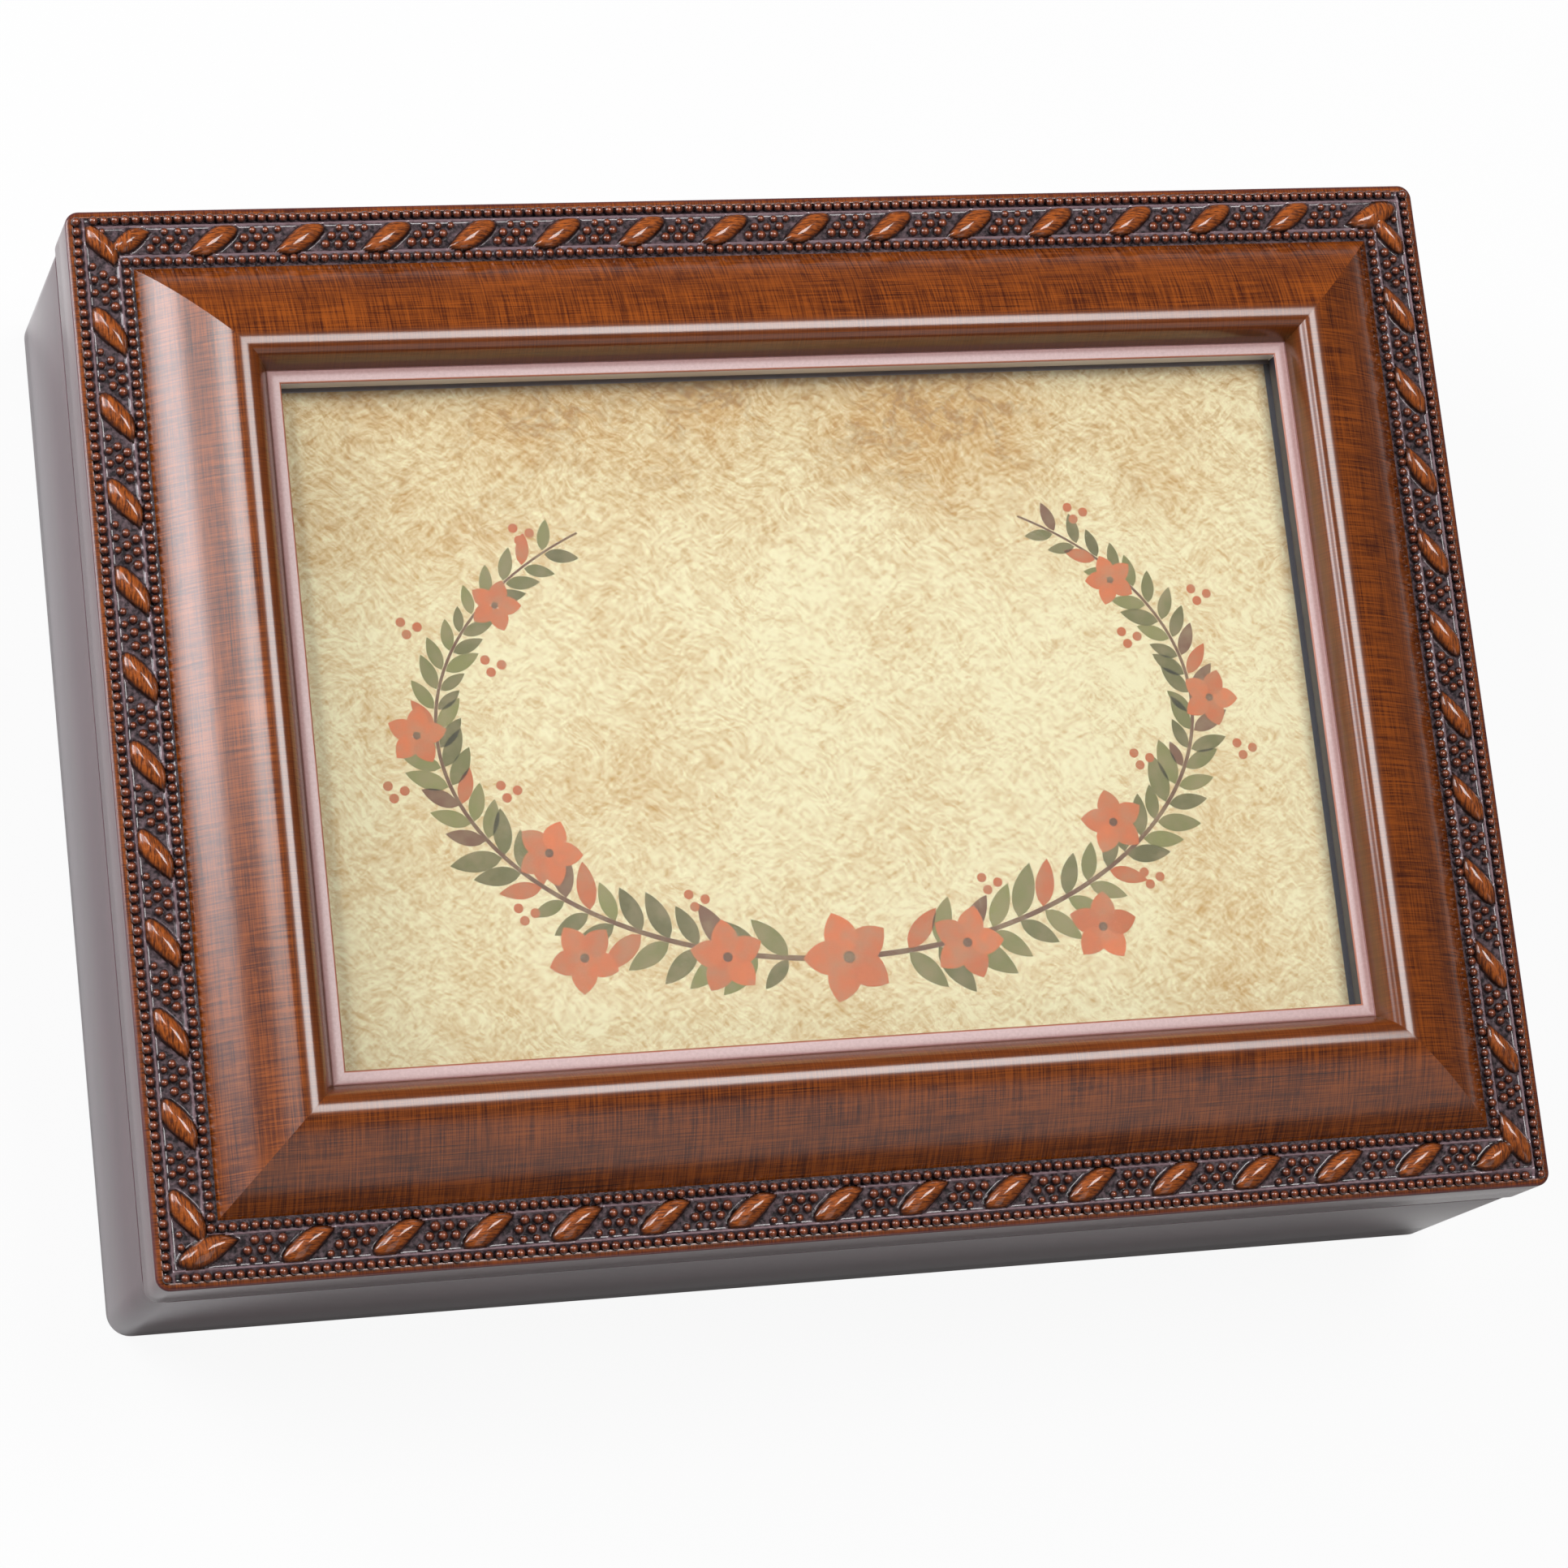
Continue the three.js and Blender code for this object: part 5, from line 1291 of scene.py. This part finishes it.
make(
    "pinned_drum", *shape, brass, "cylinder", METAL_CRISP,
    stands_for=("pinned_cylinder",), finish_slot="brass",
)
print("drum with", len(pegs), "pins")

# %% [markdown]
# ## Governor
# A worm on an upright shaft turns a two-bladed fan, whose drag keeps the music slow. The worm is a
# turned piece whose radius also depends on the angle: half of one plus the cosine of height times
# two pi over the pitch, minus the angle, which winds one thread round the shaft.

# %% Governor
WORM_LOW, WORM_HIGH, WORM_PITCH, WORM_STEPS = 24.34, 32.04, 1.13, 110
SHAFT_RADIUS, THREAD, RUN_OUT, AROUND = 0.4, 0.5, 0.5, 24
low, high = corners("governor_fan")
shaft_x, shaft_y = (low[0] + high[0]) / 2, (low[1] + high[1]) / 2
worm_z = np.linspace(WORM_LOW, WORM_HIGH, WORM_STEPS)
ease = np.clip(np.minimum(worm_z - WORM_LOW, WORM_HIGH - worm_z) / RUN_OUT, 0, 1)
core = np.column_stack((SHAFT_RADIUS + 0.5 * ease, worm_z))
foot = [(0, low[2]), (SHAFT_RADIUS, low[2] + 0.1), (SHAFT_RADIUS, WORM_LOW - 0.04)]
tip = [(SHAFT_RADIUS, high[2] - 0.1), (0, high[2])]
profile = np.concatenate((foot, core, tip))
angle = np.linspace(0, 2 * math.pi, AROUND, endpoint=False)
wave = 0.5 + 0.5 * np.cos(2 * math.pi * worm_z[:, None] / WORM_PITCH - angle)
swell = np.zeros((len(profile), AROUND))
swell[len(foot) : -len(tip)] = THREAD * ease[:, None] * wave**0.7
fan_low, fan_high = (low[0], shaft_y - 0.2, 32.3), (high[0], shaft_y + 0.2, high[2] - 0.1)
shape = combined(
    turned((shaft_x, shaft_y, 0), "z", profile, AROUND, swell),
    rounded_box(fan_low, fan_high, 0.18, (2, 1, 1)),
)
make(
    "governor_worm_fan", *shape, steel, "governor", METAL_CRISP,
    stands_for=("governor_fan",), finish_slot="steel",
)
print("worm of", round((WORM_HIGH - WORM_LOW) / WORM_PITCH, 1), "turns")

# %% [markdown]
# ## Hinges
# A butt hinge is two let-in leaves with rolled knuckles and a pin. Outer knuckles belong to the
# base, the middle one to the lid. Leaf and neck are thin round-edged boxes; knuckles are turned.

# %% Hinges
knuckle_y, knuckle_z = back + 1.8, (base_top + lid_bottom) / 2
LEAF_THICK, KNUCKLE_GAP, HINGE_LENGTH = 0.8, 0.15, 25
KNUCKLE_END = [(0.9, 0), (1.35, 0), (1.5, 0.15)]
PIN_END = [(0, 0), (0.8, 0), (1.2, 0.2), (1.2, 0.5), (0.6, 0.5)]


def hinge_leaf(node, body, spans, z0):
    """A leaf that starts at a height, with a neck and a rolled knuckle for each span along X."""
    low, high = corners(node)
    z1 = z0 + LEAF_THICK
    shapes = [rounded_box((low[0], low[1], z0), (high[0], back, z1), 0.15, (3, 1, 1))]
    for start, end in spans:
        x0, x1 = low[0] + start, low[0] + end
        neck = (x0, back - 1, z0), (x1, knuckle_y - 0.95, z1)
        shapes.append(rounded_box(*neck, 0.12, steps=1))
        roll = both_ends(KNUCKLE_END, x0, x1)
        shapes.append(turned((0, knuckle_y, knuckle_z), "x", roll, 40))
    return make(
        f"brass_{node}", *combined(*shapes), brass, body, METAL_CRISP,
        stands_for=(node,), finish_slot="brass",
    )


first_cut, second_cut = HINGE_LENGTH / 3, 2 * HINGE_LENGTH / 3
outer = ((0, first_cut - KNUCKLE_GAP), (second_cut + KNUCKLE_GAP, HINGE_LENGTH))
inner = ((first_cut + KNUCKLE_GAP, second_cut - KNUCKLE_GAP),)
for hand in ("left", "right"):
    hinge_leaf(f"hinge_{hand}_base_leaf", "base", outer, base_top - LEAF_THICK)
    hinge_leaf(f"hinge_{hand}_lid_leaf", "lid", inner, lid_bottom)
    low, high = corners(f"hinge_{hand}_pin")
    pin = turned((0, knuckle_y, knuckle_z), "x", both_ends(PIN_END, low[0], high[0]), 32)
    make(
        f"hinge_pin_{hand}", *pin, brass, "base", METAL_CRISP,
        stands_for=(f"hinge_{hand}_pin",), finish_slot="brass",
    )
print("two butt hinges")

# %% [markdown]
# ## Floor and light
# The floor is a plain pale sheet, kept small so that the lacquer doesn't mirror far parts of it.
# Soft panels stand in an arch over the case. The one above makes the pale line on the crest and
# the shine on the lip. One at the upper left and one low at the left make the two broad shines on
# the left cushion, and a scrim lies between them. Each of the two is a wide panel with a smaller
# core one degree off, so that its shine fades outwards. A card in front lights the front wall, and
# the world fills in weakly.

# %% Floor and light
scene = bpy.context.scene
scene.view_settings.view_transform = "Standard"

HALF_FLOOR = 0.34
floor_mesh = bpy.data.meshes.new("floor")
square = [(HALF_FLOOR * i, HALF_FLOOR * j, 0) for i, j in ((-1, -1), (1, -1), (1, 1), (-1, 1))]
floor_mesh.from_pydata(square, [], [(0, 1, 2, 3)])
floor = bpy.data.objects.new("floor", floor_mesh)
scene.collection.objects.link(floor)
paper_floor = Finish(
    "pale_floor", base_color=tone(243, 243, 243), roughness=0.9, specular_ior_level=0.0
)


def background_share(finish):
    """How far a ray sees the white background: fully for the camera and through glass, weakly in
    lacquer and metal, and not at all for light that falls on the object."""
    camera_ray, through, glossy = (
        finish.node("ShaderNodeLightPath", out=f"Is {kind} Ray")
        for kind in ("Camera", "Transmission", "Glossy")
    )
    return camera_ray + through + glossy * GLOSSY_SHARE


WHITE_SHARE, GLOSSY_SHARE = 0.93, 0.05
white = paper_floor.node("ShaderNodeEmission", None, {"Color": (1, 1, 1, 1), "Strength": 1.0})
share = background_share(paper_floor) * WHITE_SHARE
mixed = paper_floor.node("ShaderNodeMixShader", None, {0: share, 2: white})
paper_floor.tree.links.new(paper_floor.shader.outputs[0], mixed.socket.node.inputs[1])
surface = paper_floor.tree.nodes["Material Output"].inputs["Surface"]
paper_floor.tree.links.new(mixed.socket, surface)
floor_mesh.materials.append(paper_floor.material)


AIM = Vector((0, 0, 0.04))


def lamp(name, facing, across, shift, distance, size, radiance, colour):
    """A soft box: a rectangle at a distance, seen from the case in the direction facing, moved
    sideways by shift along across; its power is radiance times pi times its area."""
    made = bpy.data.objects.new(name, bpy.data.lights.new(name, "AREA"))
    made.data.shape = "RECTANGLE"
    made.data.size, made.data.size_y = size
    made.data.energy = radiance * math.pi * size[0] * size[1]
    made.data.color = colour
    facing, across = Vector(facing).normalized(), Vector(across)
    axes = Matrix((across, facing.cross(across), facing)).transposed()
    place = facing * distance + across * shift + AIM
    made.matrix_world = Matrix.Translation(place) @ axes.to_4x4()
    scene.collection.objects.link(made)
    print(f"{name}: {made.data.energy:.1f} W")


def panel(name, angle, spread, near, far, radiance, colour=(1, 1, 1)):
    """A soft box of the arch over the case: angle degrees up from the left horizon, spread
    degrees to either side, and reaching from near to far metres towards the back."""
    a, tall = math.radians(angle), 2 * math.tan(math.radians(spread))
    facing = (-math.cos(a), 0, math.sin(a))
    lamp(name, facing, (0, 1, 0), (near + far) / 2, 1.0, (far - near, tall), radiance, colour)


cool = (0.95, 0.96, 1.0)
panel("above", 105.2, 12, -0.04, 0.42, 8.6)
panel("left_wide", 20, 11, 0.1, 1.0, 2.8, cool)
panel("left_core", 21, 7, 0.165, 1.0, 2.9, cool)
panel("left_scrim", 35, 27, 0.19, 0.85, 2.7, cool)
panel("upper_left_wide", 56, 6, 0.11, 0.75, 3.1)
panel("upper_left_core", 57, 4, 0.165, 0.7, 3.2)
lamp("front_card", (0, -0.81, 0.586), (1, 0, 0), 0.33, 1.2, (0.6, 0.8), 0.65, (1, 1, 1))

world = bpy.data.worlds.new("studio")
scene.world = world
world.use_nodes = True
backdrop = world.node_tree.nodes["Background"]
backdrop.inputs["Color"].default_value = (1, 1, 1, 1)
path = world.node_tree.nodes.new("ShaderNodeLightPath")
FILL, WHITE_SEEN, WHITE_MIRRORED = 0.05, 0.95, 0.03
strength = None
for kind, more in (
    ("Camera", WHITE_SEEN), ("Transmission", WHITE_SEEN), ("Glossy", WHITE_MIRRORED)
):
    step = world.node_tree.nodes.new("ShaderNodeMath")
    step.operation = "MULTIPLY_ADD"
    step.inputs[1].default_value, step.inputs[2].default_value = more, FILL
    world.node_tree.links.new(path.outputs[f"Is {kind} Ray"], step.inputs[0])
    if strength:
        world.node_tree.links.new(strength, step.inputs[2])
    strength = step.outputs[0]
world.node_tree.links.new(strength, backdrop.inputs["Strength"])
